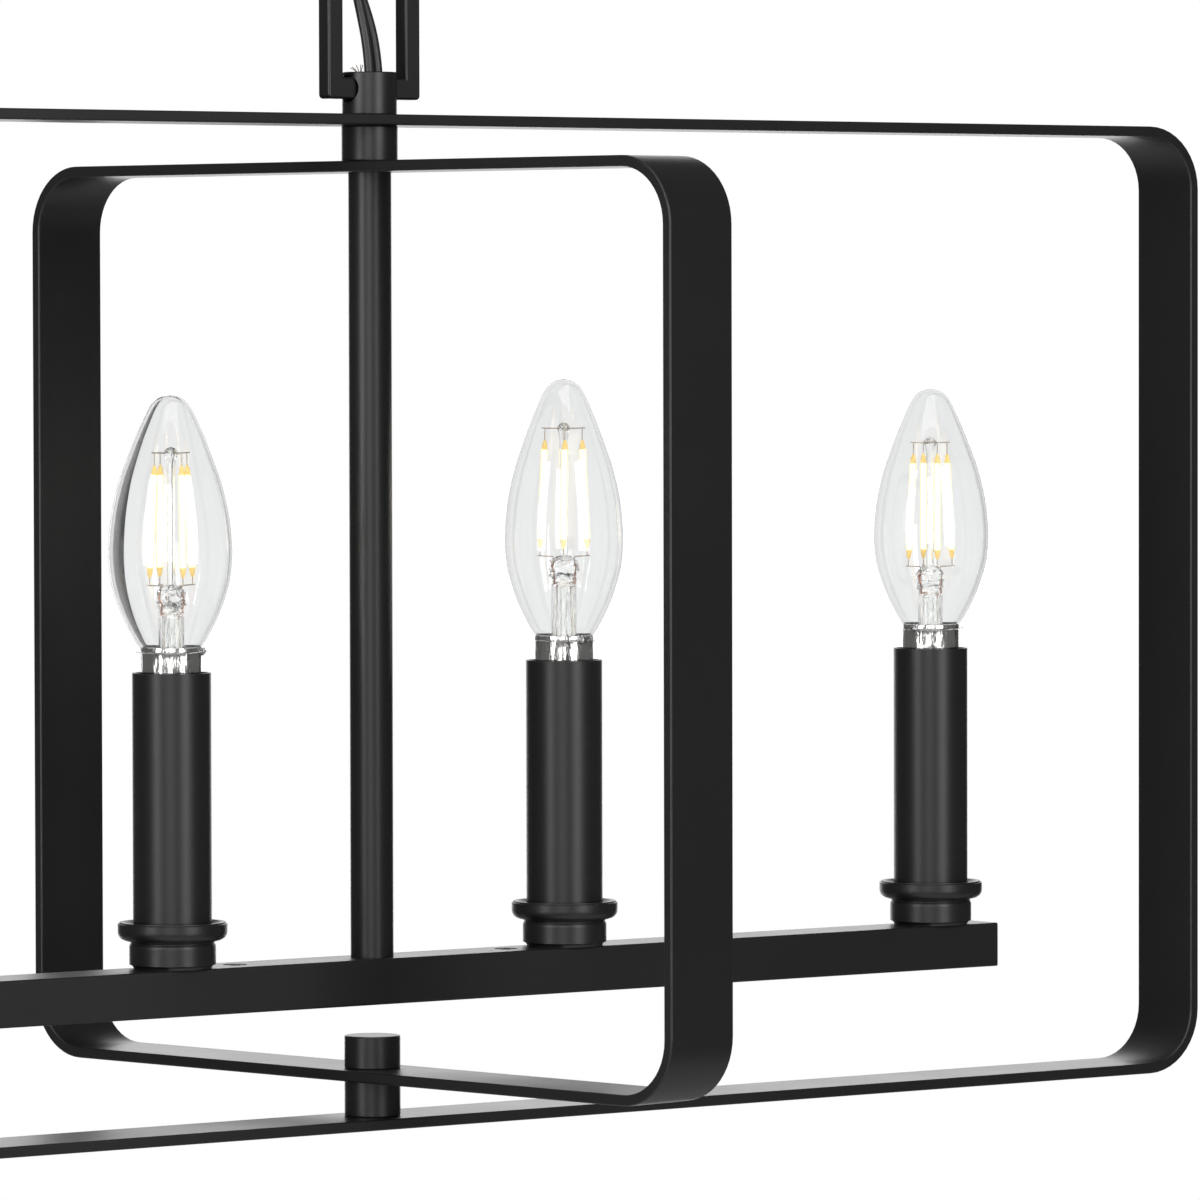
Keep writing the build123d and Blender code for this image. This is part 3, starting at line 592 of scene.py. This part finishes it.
# %% Lamp sizes
GLASS_RADIUS = 17.5
GLASS_WALL = 0.7
GLASS_OUTLINE = [
    (0.0, 0.503), (0.03, 0.585), (0.11, 0.755), (0.19, 0.88), (0.27, 0.965), (0.37, 1.0), (0.46, 0.98),
    (0.55, 0.93), (0.66, 0.82), (0.74, 0.705), (0.82, 0.58), (0.88, 0.475), (0.93, 0.38), (0.96, 0.31),
    (0.98, 0.24), (0.992, 0.16), (0.998, 0.08), (1.0, 0.0),
]
TAIL_RADIUS, TAIL_DEPTH, TAIL_TOP = 7.9, 5.6, -0.6
LAMP_TURNS = {1: 12.0, 2: -6.0, 3: 52.0, 4: 68.0}
MOUNT_LIFTS = {1: 0.0, 2: 0.0, 3: 5.6, 4: 0.0}
BLOB_TURNS = {1: 250.0, 2: -50.0, 3: -91.0, 4: -163.0}
BLOB_SIZES = {1: 1.2, 2: 1.3, 3: 1.7, 4: 1.4}


def lamp_place(number):
    """The point on a lamp's axis where the glass meets the metal cap."""
    low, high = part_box(f"lamp_cap_{number}")
    return Vector(((low.x + high.x) / 2, (low.y + high.y) / 2, high.z))


print("height of the first lamp's neck in mm:", round(lamp_place(1).z / MM, 1))

# %% [markdown]
# ## The blown glass
# The real candle is blown into a mould and sealed at the neck.  One closed outline holds both
# sides of its wall: outside up to the tip, back down inside, and the short tail in the collar.
# A Solidify modifier could thicken a single skin too, but it would leave the tip uneven.


# %% Glass envelope
def lamp_glass(number):
    """A blown candle: outside up to the tip, and the inside of the same wall back down."""
    neck = lamp_place(number)
    height = (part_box(f"lamp_glass_{number}")[1].z - neck.z) / MM
    outside = flowing([(share * GLASS_RADIUS, up * height) for up, share in GLASS_OUTLINE])
    inside = []
    for here, ahead_of in zip(outside, outside[1:]):
        slope = Vector((ahead_of[0] - here[0], ahead_of[1] - here[1])).normalized()
        inside.append((max(here[0] - slope.y * GLASS_WALL, 0.0), here[1] + slope.x * GLASS_WALL))
    inside.append((0.0, height - GLASS_WALL))
    tail_bore = TAIL_RADIUS - GLASS_WALL
    tail = [(TAIL_RADIUS, -TAIL_DEPTH), (TAIL_RADIUS, TAIL_TOP)]
    tail_inside = [(tail_bore, TAIL_TOP), (tail_bore, -TAIL_DEPTH)]
    outline = tail + outside + inside[::-1] + tail_inside
    glass = lathe(f"lamp_{number}_glass", outline, neck, clear, steps=96, closed=True)
    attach(glass, f"lamp_{number}")
    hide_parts(f"lamp_glass_{number}")
    return height


print("points of the glass outline:", len(flowing(GLASS_OUTLINE)))

# %% [markdown]
# ## Thread, dents and tears
# The cap's metal is thin: a thread is rolled into it, its collar is dented where it was crimped
# on, and the edge where it was cut is torn and curls.  A sine wave that climbs while it goes round
# is a thread, and noise that is walked round the axis gives the rest.  The lip stays narrower than
# the sleeve's bore, so a sleeve can be lifted past it.

# %% Crumpled metal
THREAD_PITCH, THREAD_DEPTH = 2.54, 0.35
COLLAR_RADIUS = 8.5
SLEEVE_REACH = 10.12
NOISE_ROUND, NOISE_UP, NOISE_APART = 2.2, 0.35, 9
TEAR_WAVES, TEAR_DEPTH, TEAR_LOSS = 3.5, 0.55, 0.25
CURL_WAVES, CURL_DEPTH = 2.0, 0.35
DENT_WAVES, DENT_DEPTH = 1.6, 0.10


def crumpler(number, thread_foot, socket_top):
    """The rule that moves each point of a cap's outline while it is spun."""

    def crumple(radius, height, angle):
        walk = (math.cos(angle) * NOISE_ROUND, math.sin(angle) * NOISE_ROUND)
        around = Vector((*walk, height * NOISE_UP + number * NOISE_APART))
        if thread_foot < height < socket_top - 0.5:
            climb = (height - thread_foot) / THREAD_PITCH
            radius -= THREAD_DEPTH * (0.5 + 0.5 * math.sin(2 * math.pi * climb - angle))
        elif radius > COLLAR_RADIUS + 0.9:
            torn = TEAR_DEPTH * noise.noise(around * TEAR_WAVES) - TEAR_LOSS
            radius = min(radius + torn, SLEEVE_REACH)
            height += CURL_DEPTH * noise.noise(around * CURL_WAVES)
        elif height > socket_top + 0.4 and radius > COLLAR_RADIUS - 0.6:
            radius += DENT_DEPTH * noise.noise(around * DENT_WAVES)
        return radius, height

    return crumple


print("pitch and depth of the cap's thread in mm:", THREAD_PITCH, THREAD_DEPTH)

# %% [markdown]
# ## The metal cap
# The cap is a nickel shell: a tip, a threaded barrel that sits in the socket and a wider collar
# that grips the glass.  It is one outline spun about the lamp's axis, with the rule above.

# %% Metal cap
TIP_HEIGHT = 4.0
THREAD_RADIUS, THREAD_STEP = 5.95, 0.25
LIP_RADIUS, LIP_DROP = 10.1, 1.5


def lamp_cap(number):
    """The threaded shell, its collar and its torn lip."""
    neck = lamp_place(number)
    low = (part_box(f"lamp_cap_{number}")[0].z - neck.z) / MM
    socket_top = (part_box(f"socket_{number}")[1].z - neck.z) / MM
    thread_foot = low + TIP_HEIGHT
    thread_steps = int((socket_top - thread_foot) / THREAD_STEP)
    thread = [(THREAD_RADIUS, thread_foot + step * THREAD_STEP) for step in range(thread_steps)]
    collar = [
        (COLLAR_RADIUS - 0.6, socket_top + 0.05), (COLLAR_RADIUS - 0.1, socket_top + 0.3),
        (COLLAR_RADIUS, socket_top + 0.9), (COLLAR_RADIUS, -4.5), (COLLAR_RADIUS, -2.8),
        (COLLAR_RADIUS + 0.1, -LIP_DROP - 0.2), (LIP_RADIUS - 0.4, -LIP_DROP - 0.05),
        (LIP_RADIUS, -LIP_DROP + 0.1), (LIP_RADIUS - 0.4, -LIP_DROP + 0.25),
        (COLLAR_RADIUS + 0.15, -LIP_DROP + 0.35), (COLLAR_RADIUS + 0.1, -0.5), (COLLAR_RADIUS, -0.05),
        (COLLAR_RADIUS - 0.35, -0.05), (COLLAR_RADIUS - 0.4, -1.2), (COLLAR_RADIUS - 0.4, socket_top + 0.8),
    ]
    tip = [(0.0, low), (1.6, low + 0.05), (2.1, low + 0.6), (2.2, low + 1.5), (5.5, low + 3.9)]
    crumple = crumpler(number, thread_foot, socket_top)
    cap = lathe(f"lamp_{number}_cap", tip + thread + collar, neck, nickel, steps=120, wobble=crumple)
    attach(cap, f"lamp_{number}")
    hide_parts(f"lamp_cap_{number}")


print("from the neck down to the lip in mm:", LIP_DROP)

# %% [markdown]
# ## The solder drop on the cap's rim
# A frozen drop joins the lamp's outer wire to its cap.  It is a ball pushed in and out by noise,
# pressed a little flat, and held inside the reach of the sleeve that lifts past it.

# %% Solder drop
BLOB_DROP, BLOB_FLATNESS = 1.1, 0.8
LUMP_WAVES, LUMP_DEPTH = 1.7, 0.35


def solder_blob(number):
    """One lumpy drop on the collar of a lamp."""
    neck = lamp_place(number)
    angle = math.radians(BLOB_TURNS[number])
    outwards = Vector((math.cos(angle), math.sin(angle), 0))
    centre = neck + outwards * COLLAR_RADIUS * MM + Vector((0, 0, -BLOB_DROP * MM))
    shape = bmesh.new()
    bmesh.ops.create_icosphere(shape, subdivisions=4, radius=1.0)
    for corner in shape.verts:
        lump = 1 + LUMP_DEPTH * noise.noise(corner.co * LUMP_WAVES + Vector((number, 0, 0)))
        across = Vector((corner.co.x, corner.co.y, corner.co.z * BLOB_FLATNESS)) * BLOB_SIZES[number]
        corner.co = centre + across * lump * MM
        from_axis = Vector((corner.co.x - neck.x, corner.co.y - neck.y, 0))
        corner.co -= from_axis * max(1 - SLEEVE_REACH * MM / from_axis.length, 0)
    mesh = bpy.data.meshes.new(f"lamp_{number}_solder")
    shape.to_mesh(mesh)
    shape.free()
    blob = show(f"lamp_{number}_solder", mesh, solder)
    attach(blob, f"lamp_{number}")


print("solder drops, across in mm:", [round(2 * size, 1) for size in BLOB_SIZES.values()])

# %% [markdown]
# ## The mount inside the glass
# Inside the glass a tube rises from the neck and is pinched flat round the wires while it is hot.
# A clear rod stands on the pinch and ends in a lumpy bead.  Thin wires leave the pinch and the
# bead sideways and hold four filament rods between them, which lean inwards a little.  All levels
# are heights above the neck.

# %% Sizes of the mount
STEM_RADIUS = 3.6
CENTRE_ROD_RADIUS = 1.15
PINCH_FOOT, PINCH_TOP = 10.3, 16.4
WIRE_LEVEL, CROWN_LEVEL = 17.2, 54.0
ROD_FOOT, ROD_TOP = 19.4, 50.6
ROD_RADIUS, CORE_RADIUS, ROD_END = 0.95, 0.66, 2.8
FOOT_CIRCLE, TOP_CIRCLE, TWIST = 6.8, 5.4, 5.0
BROAD_SIDE = math.degrees(CAMERA_YAW)
WIRE_THICKNESS, CLAD_THICKNESS = 0.32, 0.55
print("length of a filament rod in mm:", round(ROD_TOP - ROD_FOOT, 1))

# %% [markdown]
# ## Placing and joining small pieces
# Everything in a lamp stands round its axis, so a point is easiest to give as a radius, an angle
# and a height.  Pieces of one kind are joined into one mesh, and each then turns with its lamp.


# %% Helpers for the mount
def spot(neck, radius, degrees, height):
    """A point in millimetres, from a lamp's axis, at an angle and a height above the neck."""
    angle = math.radians(degrees)
    across, along = radius * math.cos(angle), radius * math.sin(angle)
    return (neck.x / MM + across, neck.y / MM + along, neck.z / MM + height)


def joined(name, pieces):
    """Several meshes as one piece."""
    shape = bmesh.new()
    for piece in pieces:
        shape.from_mesh(piece.data)
    mesh = bpy.data.meshes.new(name)
    shape.to_mesh(mesh)
    shape.free()
    mesh.materials.append(pieces[0].data.materials[0])
    for piece in pieces:
        bpy.data.objects.remove(piece)
    made = bpy.data.objects.new(name, mesh)
    bpy.context.scene.collection.objects.link(made)
    return made


def mounted(number, piece):
    """Lets a piece turn with its lamp and stand in for the plain mount."""
    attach(piece, f"lamp_{number}")
    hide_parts(f"lamp_mount_{number}")


print("a spot on the first lamp's axis, in mm:", [round(v, 1) for v in spot(lamp_place(1), 0, 0, 0)])

# %% [markdown]
# ## Glass pressed while it is hot
# The pinch is made as on the real lamp: the round is squeezed flat between two jaws, with its
# broad side across the view.  Noise then makes the pinch and the bead as uneven as glass that was
# soft a moment ago.

# %% Pinch
PINCH_BROAD, PINCH_THIN = 1.1, 0.5
PRESS_UP, PRESS_APART = 0.45, 5
BIG_LUMPS, BIG_DEPTH, SMALL_LUMPS, SMALL_DEPTH = 1.6, 0.22, 4.5, 0.14


def presser(number, lift):
    """The rule that squeezes and roughens the glass stem while it is spun."""

    def press(radius, level, angle):
        high = level - lift
        if PINCH_FOOT < high < PINCH_TOP + 0.5 and radius > CENTRE_ROD_RADIUS:
            share = math.sin(math.pi * (high - PINCH_FOOT) / (PINCH_TOP + 0.5 - PINCH_FOOT))
            from_broad = angle - math.radians(BROAD_SIDE)
            squeezed = math.hypot(PINCH_BROAD * math.cos(from_broad), PINCH_THIN * math.sin(from_broad))
            radius *= 1 + share * (squeezed - 1)
        if PINCH_FOOT < high < PINCH_TOP + 1 or high > CROWN_LEVEL - 2:
            place = Vector((math.cos(angle), math.sin(angle), level * PRESS_UP + number * PRESS_APART))
            big, small = noise.noise(place * BIG_LUMPS), noise.noise(place * SMALL_LUMPS)
            radius += radius * (BIG_DEPTH * big + SMALL_DEPTH * small)
        return radius, level

    return press


print("thickness of the pinch for each mm of its width:", round(PINCH_THIN / PINCH_BROAD, 2))

# %% [markdown]
# ## Pinched tube, centre rod and bead
# The tube, its pinch, the rod and the bead are one piece of glass, so they are one outline spun
# about the axis, hollow from below.  A thin tube inside it is what the air was drawn through.

# %% Glass stem
PINCH_STEPS, ROD_STEPS = 18, 10


def glass_stem(number, lift):
    """The glass that carries the filaments, with its thin inner tube."""
    neck = lamp_place(number)
    foot, top, crown = PINCH_FOOT + lift, PINCH_TOP + lift, CROWN_LEVEL + lift
    flare = [
        (7.0, -TAIL_DEPTH), (7.05, -TAIL_DEPTH + 0.8), (4.8, -TAIL_DEPTH + 2.0), (STEM_RADIUS, -1.5),
    ]
    wall = [(STEM_RADIUS, foot * share) for share in (0, 0.35, 0.7, 0.97)]
    pressed = [(STEM_RADIUS, foot + (top - foot) * step / PINCH_STEPS) for step in range(1, PINCH_STEPS)]
    shoulder = [(STEM_RADIUS - 0.5, top - 0.1), (2.2, top + 0.5), (CENTRE_ROD_RADIUS, top + 1.0)]
    rod = [(CENTRE_ROD_RADIUS, top + (crown - top) * step / ROD_STEPS) for step in range(1, ROD_STEPS)]
    bead = [
        (1.4, crown - 1.4), (1.8, crown - 0.5), (1.8, crown + 0.4), (1.1, crown + 1.3), (0.0, crown + 1.7),
    ]
    hollow = [
        (0.0, foot - 0.2), (1.9, foot - 0.7), (2.8, foot - 1.8), (2.9, 0.0),
        (4.0, -TAIL_DEPTH + 2.2), (6.6, -TAIL_DEPTH),
    ]
    outside = flare + wall + pressed + shoulder + rod + bead
    skin = outside[::-1] + hollow[::-1]
    stem = lathe(f"lamp_{number}_stem", skin, neck, stem_glass, steps=48, wobble=presser(number, lift))
    bore = [(1.3, -TAIL_DEPTH), (1.3, foot - 2.2), (0.9, foot - 2.2), (0.9, -TAIL_DEPTH)]
    exhaust = lathe(f"lamp_{number}_exhaust", bore, neck, stem_glass, steps=20, closed=True)
    mounted(number, stem)
    mounted(number, exhaust)


print("width of the glass stem in mm:", 2 * STEM_RADIUS)

# %% [markdown]
# ## Thin wires and unlit ends
# A support wire is a hair of metal, and the unlit end of a rod is a drop that narrows to that
# wire.  Both are tubes; a spline may give each of its points a radius of its own, which is all
# that the taper needs.

# %% Wire and rod end
END_RADIUS, END_TAPER = 0.85, (0.3, 1.0, 1.0)


def thin_wire(points):
    """One of the wires that hold the rods."""
    return tube("wire", points, WIRE_THICKNESS, wire_metal)


def tapered_end(points):
    """The unlit end of a rod: a drop that narrows to the wire."""
    curve = smooth_curve("end", points, END_RADIUS)
    for knot, share in zip(curve.splines[0].points, END_TAPER):
        knot.radius = share
    return show("end", mesh_of(curve), amber)


print("width of a rod's tip in mm:", round(2 * END_RADIUS * END_TAPER[0], 2))

# %% [markdown]
# ## One filament rod
# A rod is a bright core, the coat over it and two unlit ends.  All are laid along one line from a
# low point to a high one that stands a little nearer to the axis and a little further round.

# %% Rod
BULGE_SHARE, ROD_OVERLAP = 0.35, 0.2


def filament_rod(low, high, kinds):
    """A rod from one point to another; returns a function that walks along it."""
    reach = math.dist(low, high)

    def along(distance):
        return tuple(a + (b - a) * distance / reach for a, b in zip(low, high))

    lit = [along(ROD_END - ROD_OVERLAP), along(reach / 2), along(reach - ROD_END + ROD_OVERLAP)]
    kinds["cores"].append(tube("core", lit, 2 * CORE_RADIUS, glow))
    kinds["coats"].append(tube("coat", lit, 2 * ROD_RADIUS, phosphor))
    for near, far in ((0, ROD_END), (reach, reach - ROD_END)):
        bulge = along(near + (far - near) * BULGE_SHARE)
        kinds["rod_ends"].append(tapered_end([along(near), bulge, along(far)]))
    return along


print("thickness of coat over a core in mm:", round(ROD_RADIUS - CORE_RADIUS, 2))

# %% [markdown]
# ## The wires that hold a rod
# Below, a wire runs from the rod's foot inwards and down into the pinch; above, another runs from
# the rod's top into the bead.  Both stick out a little past the rod, where they were cut off.

# %% Support wires
WIRE_BITE = 0.3


def support_wires(neck, lift, below, along, kinds):
    """The four short wires of one rod."""
    above = below + TWIST
    level, crown = WIRE_LEVEL + lift, CROWN_LEVEL + lift
    reach = math.dist(spot(neck, FOOT_CIRCLE, below, ROD_FOOT), spot(neck, TOP_CIRCLE, above, ROD_TOP))
    side = BROAD_SIDE + 180 * (math.cos(math.radians(below - BROAD_SIDE)) < 0)
    kinds["wires"].append(thin_wire([along(WIRE_BITE), spot(neck, FOOT_CIRCLE, below, level)]))
    kinds["wires"].append(thin_wire([
        spot(neck, FOOT_CIRCLE + 0.8, below, level + 0.15),
        spot(neck, FOOT_CIRCLE * 0.6, below, level - 0.1),
        spot(neck, 2.8, side, level),
        spot(neck, 2.7, side, level - 3.0),
    ]))
    kinds["wires"].append(thin_wire([along(reach - WIRE_BITE), spot(neck, TOP_CIRCLE, above, crown)]))
    kinds["wires"].append(thin_wire([
        spot(neck, TOP_CIRCLE + 0.9, above, crown + 0.1),
        spot(neck, TOP_CIRCLE * 0.5, above, crown - 0.2),
        spot(neck, 0.5, above, crown + 0.1),
    ]))


print("height of the lower cross of wires in mm:", WIRE_LEVEL)

# %% [markdown]
# ## The wires that carry the current
# Two thicker copper-clad wires pass through the pinch, one on each side, because that metal
# stretches with heat as glass does and keeps the seal tight.  Thin ones go on down the stem.

# %% Current wires
LEAD_IN_TWIST, LEAD_IN_BEND = 10, 25


def current_wires(neck, lift, kinds):
    """The pair of wires that comes up the stem and through the pinch."""
    level, pinch = WIRE_LEVEL + lift, PINCH_FOOT + lift
    for side in (BROAD_SIDE, BROAD_SIDE + 180):
        kinds["leads"].append(tube("clad", [
            spot(neck, 2.9, side, level - 2.2),
            spot(neck, 3.1, side + LEAD_IN_TWIST, level - 4.0),
            spot(neck, 2.4, side + LEAD_IN_BEND, pinch + 0.6),
            spot(neck, 2.0, side, pinch - 2.5),
        ], CLAD_THICKNESS, sheathed))
        kinds["wires"].append(thin_wire([
            spot(neck, 2.0, side, pinch - 2.4),
            spot(neck, 2.2, side, 2.0),
            spot(neck, 2.4, side, -TAIL_DEPTH + 2.5),
        ]))


print("height of the pinch in mm:", round(PINCH_TOP - PINCH_FOOT, 1))

# %% [markdown]
# ## All filaments of a lamp
# Four rods stand in a ring, a quarter turn apart.  Pieces of one kind are gathered and joined, so
# that a lamp stays a handful of pieces however many wires it has.

# %% Filaments
ROD_COUNT = 4


def filaments(number, lift):
    """All rods and wires of one lamp."""
    neck = lamp_place(number)
    kinds = {"cores": [], "coats": [], "rod_ends": [], "wires": [], "leads": []}
    for index in range(ROD_COUNT):
        below = LAMP_TURNS[number] + 360 / ROD_COUNT * index
        low = spot(neck, FOOT_CIRCLE, below, ROD_FOOT + lift)
        high = spot(neck, TOP_CIRCLE, below + TWIST, ROD_TOP + lift)
        along = filament_rod(low, high, kinds)
        support_wires(neck, lift, below, along, kinds)
    current_wires(neck, lift, kinds)
    for name, pieces in kinds.items():
        mounted(number, joined(f"lamp_{number}_{name}", pieces))


print("filament rods in each lamp:", ROD_COUNT)

# %% [markdown]
# ## Make the four lamps
# With every piece a function, a lamp is five calls.  Each piece rides on its lamp's own body, so
# a lamp that is unscrewed turns as one.

# %% Four lamps
for number in MOUNT_LIFTS:
    height = lamp_glass(number)
    lamp_cap(number)
    solder_blob(number)
    glass_stem(number, MOUNT_LIFTS[number])
    filaments(number, MOUNT_LIFTS[number])
    print("lamp", number, "glass height in mm:", round(height, 1))

# %% [markdown]
# ## A floor that fades out
# The pendant hangs well above a pale table, which catches its soft shadow.  A plane would end in
# a hard edge against the white ground, so the floor is a disc whose edge fades to nothing.  Its
# radius is in metres, because that is what the shader measures in.

# %% Floor
FLOOR_DROP = 830.0
FLOOR_RADIUS, FADE_FROM = 2.6, 1.2
pale = Finish("pale_floor", Base_Color=(0.86, 0.86, 0.86), Roughness=0.8)
distance = pale.node("ShaderNodeVectorMath", {"operation": "LENGTH"}, {0: pale.place()}, "Value")
fade = {"Value": distance, "From Min": FADE_FROM, "From Max": FLOOR_RADIUS, "To Min": 1.0, "To Max": 0.0}
pale.set("Alpha", pale.node("ShaderNodeMapRange", {"interpolation_type": "SMOOTHSTEP"}, fade))
disc = [(0.0, 0.0), (FLOOR_RADIUS / MM, 0.0)]
floor = lathe("floor", disc, Vector((0, 0, 0)), pale, steps=96)
floor.location.z = cad_low.z - FLOOR_DROP * MM
print("height of the floor in metres:", round(floor.location.z, 3))

# %% [markdown]
# ## Soft boxes
# Two tall soft boxes stand left and right of the camera and draw the two soft stripes on each
# round piece.  A third in front fills the flat bands, and one above gives the floor its shadow.  A
# white board behind the object, which only reflections see, brightens the tops that are seen
# almost edge on.  Each light's power follows from how bright its face is and how large.


# %% Lights
def soft_box(name, angle, distance, height, wide, tall, radiance, only_gloss=False):
    """A rectangle of light that faces the object; angle is measured from the camera's side."""
    data = bpy.data.lights.new(name, "AREA")
    data.shape = "RECTANGLE"
    data.size, data.size_y = wide, tall
    data.energy = radiance * math.pi * wide * tall
    lamp = bpy.data.objects.new(name, data)
    bpy.context.scene.collection.objects.link(lamp)
    towards_camera = Vector((CAMERA_PLACE.x, CAMERA_PLACE.y, 0)).normalized()
    side = Matrix.Rotation(math.radians(angle), 3, "Z") @ towards_camera
    middle = Vector((0, 0, (cad_low.z + cad_high.z) / 2))
    lamp.location = middle + side * distance + Vector((0, 0, height))
    lamp.rotation_euler = (middle - lamp.location).to_track_quat("-Z", "Y").to_euler()
    lamp.visible_camera = False
    if only_gloss:
        lamp.visible_diffuse = False
        lamp.visible_transmission = False
    return lamp


SIDE_BOX = {"distance": 1.9, "height": 0.35, "wide": 0.75, "tall": 1.5}
soft_box("left_box", angle=-47, radiance=6.2, **SIDE_BOX)
soft_box("right_box", angle=40, radiance=5.4, **SIDE_BOX)
soft_box("front_box", angle=-5, distance=2.1, height=0.35, wide=0.9, tall=1.5, radiance=3.0)
soft_box("top_box", angle=0, distance=0.5, height=1.6, wide=1.6, tall=1.6, radiance=1.2)
soft_box("board", angle=180, distance=2.0, height=0.0, wide=1.8, tall=1.8, radiance=2.0, only_gloss=True)
print("lights:", sorted(light.name for light in bpy.data.lights))

# %% [markdown]
# ## A white ground that does not flood the object with light
# The picture's ground is pure white, but a white world would turn black metal grey.  So the world
# is white only for rays that come from the camera or through glass, and dim for all others.

# %% World
WHITE = (1, 1, 1, 1)
GROUND_STRENGTH, LIGHTING_STRENGTH = 1.0, 0.13
world = bpy.data.worlds.new("studio")
world.use_nodes = True
bpy.context.scene.world = world
studio = world.node_tree
seen = studio.nodes.new("ShaderNodeBackground")
seen.inputs["Color"].default_value = WHITE
seen.inputs["Strength"].default_value = GROUND_STRENGTH
lighting = studio.nodes["Background"]
lighting.inputs["Color"].default_value = WHITE
lighting.inputs["Strength"].default_value = LIGHTING_STRENGTH
path = studio.nodes.new("ShaderNodeLightPath")
either = studio.nodes.new("ShaderNodeMath")
either.operation = "MAXIMUM"
choose = studio.nodes.new("ShaderNodeMixShader")
studio.links.new(path.outputs["Is Camera Ray"], either.inputs[0])
studio.links.new(path.outputs["Is Transmission Ray"], either.inputs[1])
studio.links.new(either.outputs[0], choose.inputs[0])
studio.links.new(lighting.outputs[0], choose.inputs[1])
studio.links.new(seen.outputs[0], choose.inputs[2])
studio.links.new(choose.outputs[0], studio.nodes["World Output"].inputs["Surface"])
print("nodes in the world:", len(studio.nodes))

# %% [markdown]
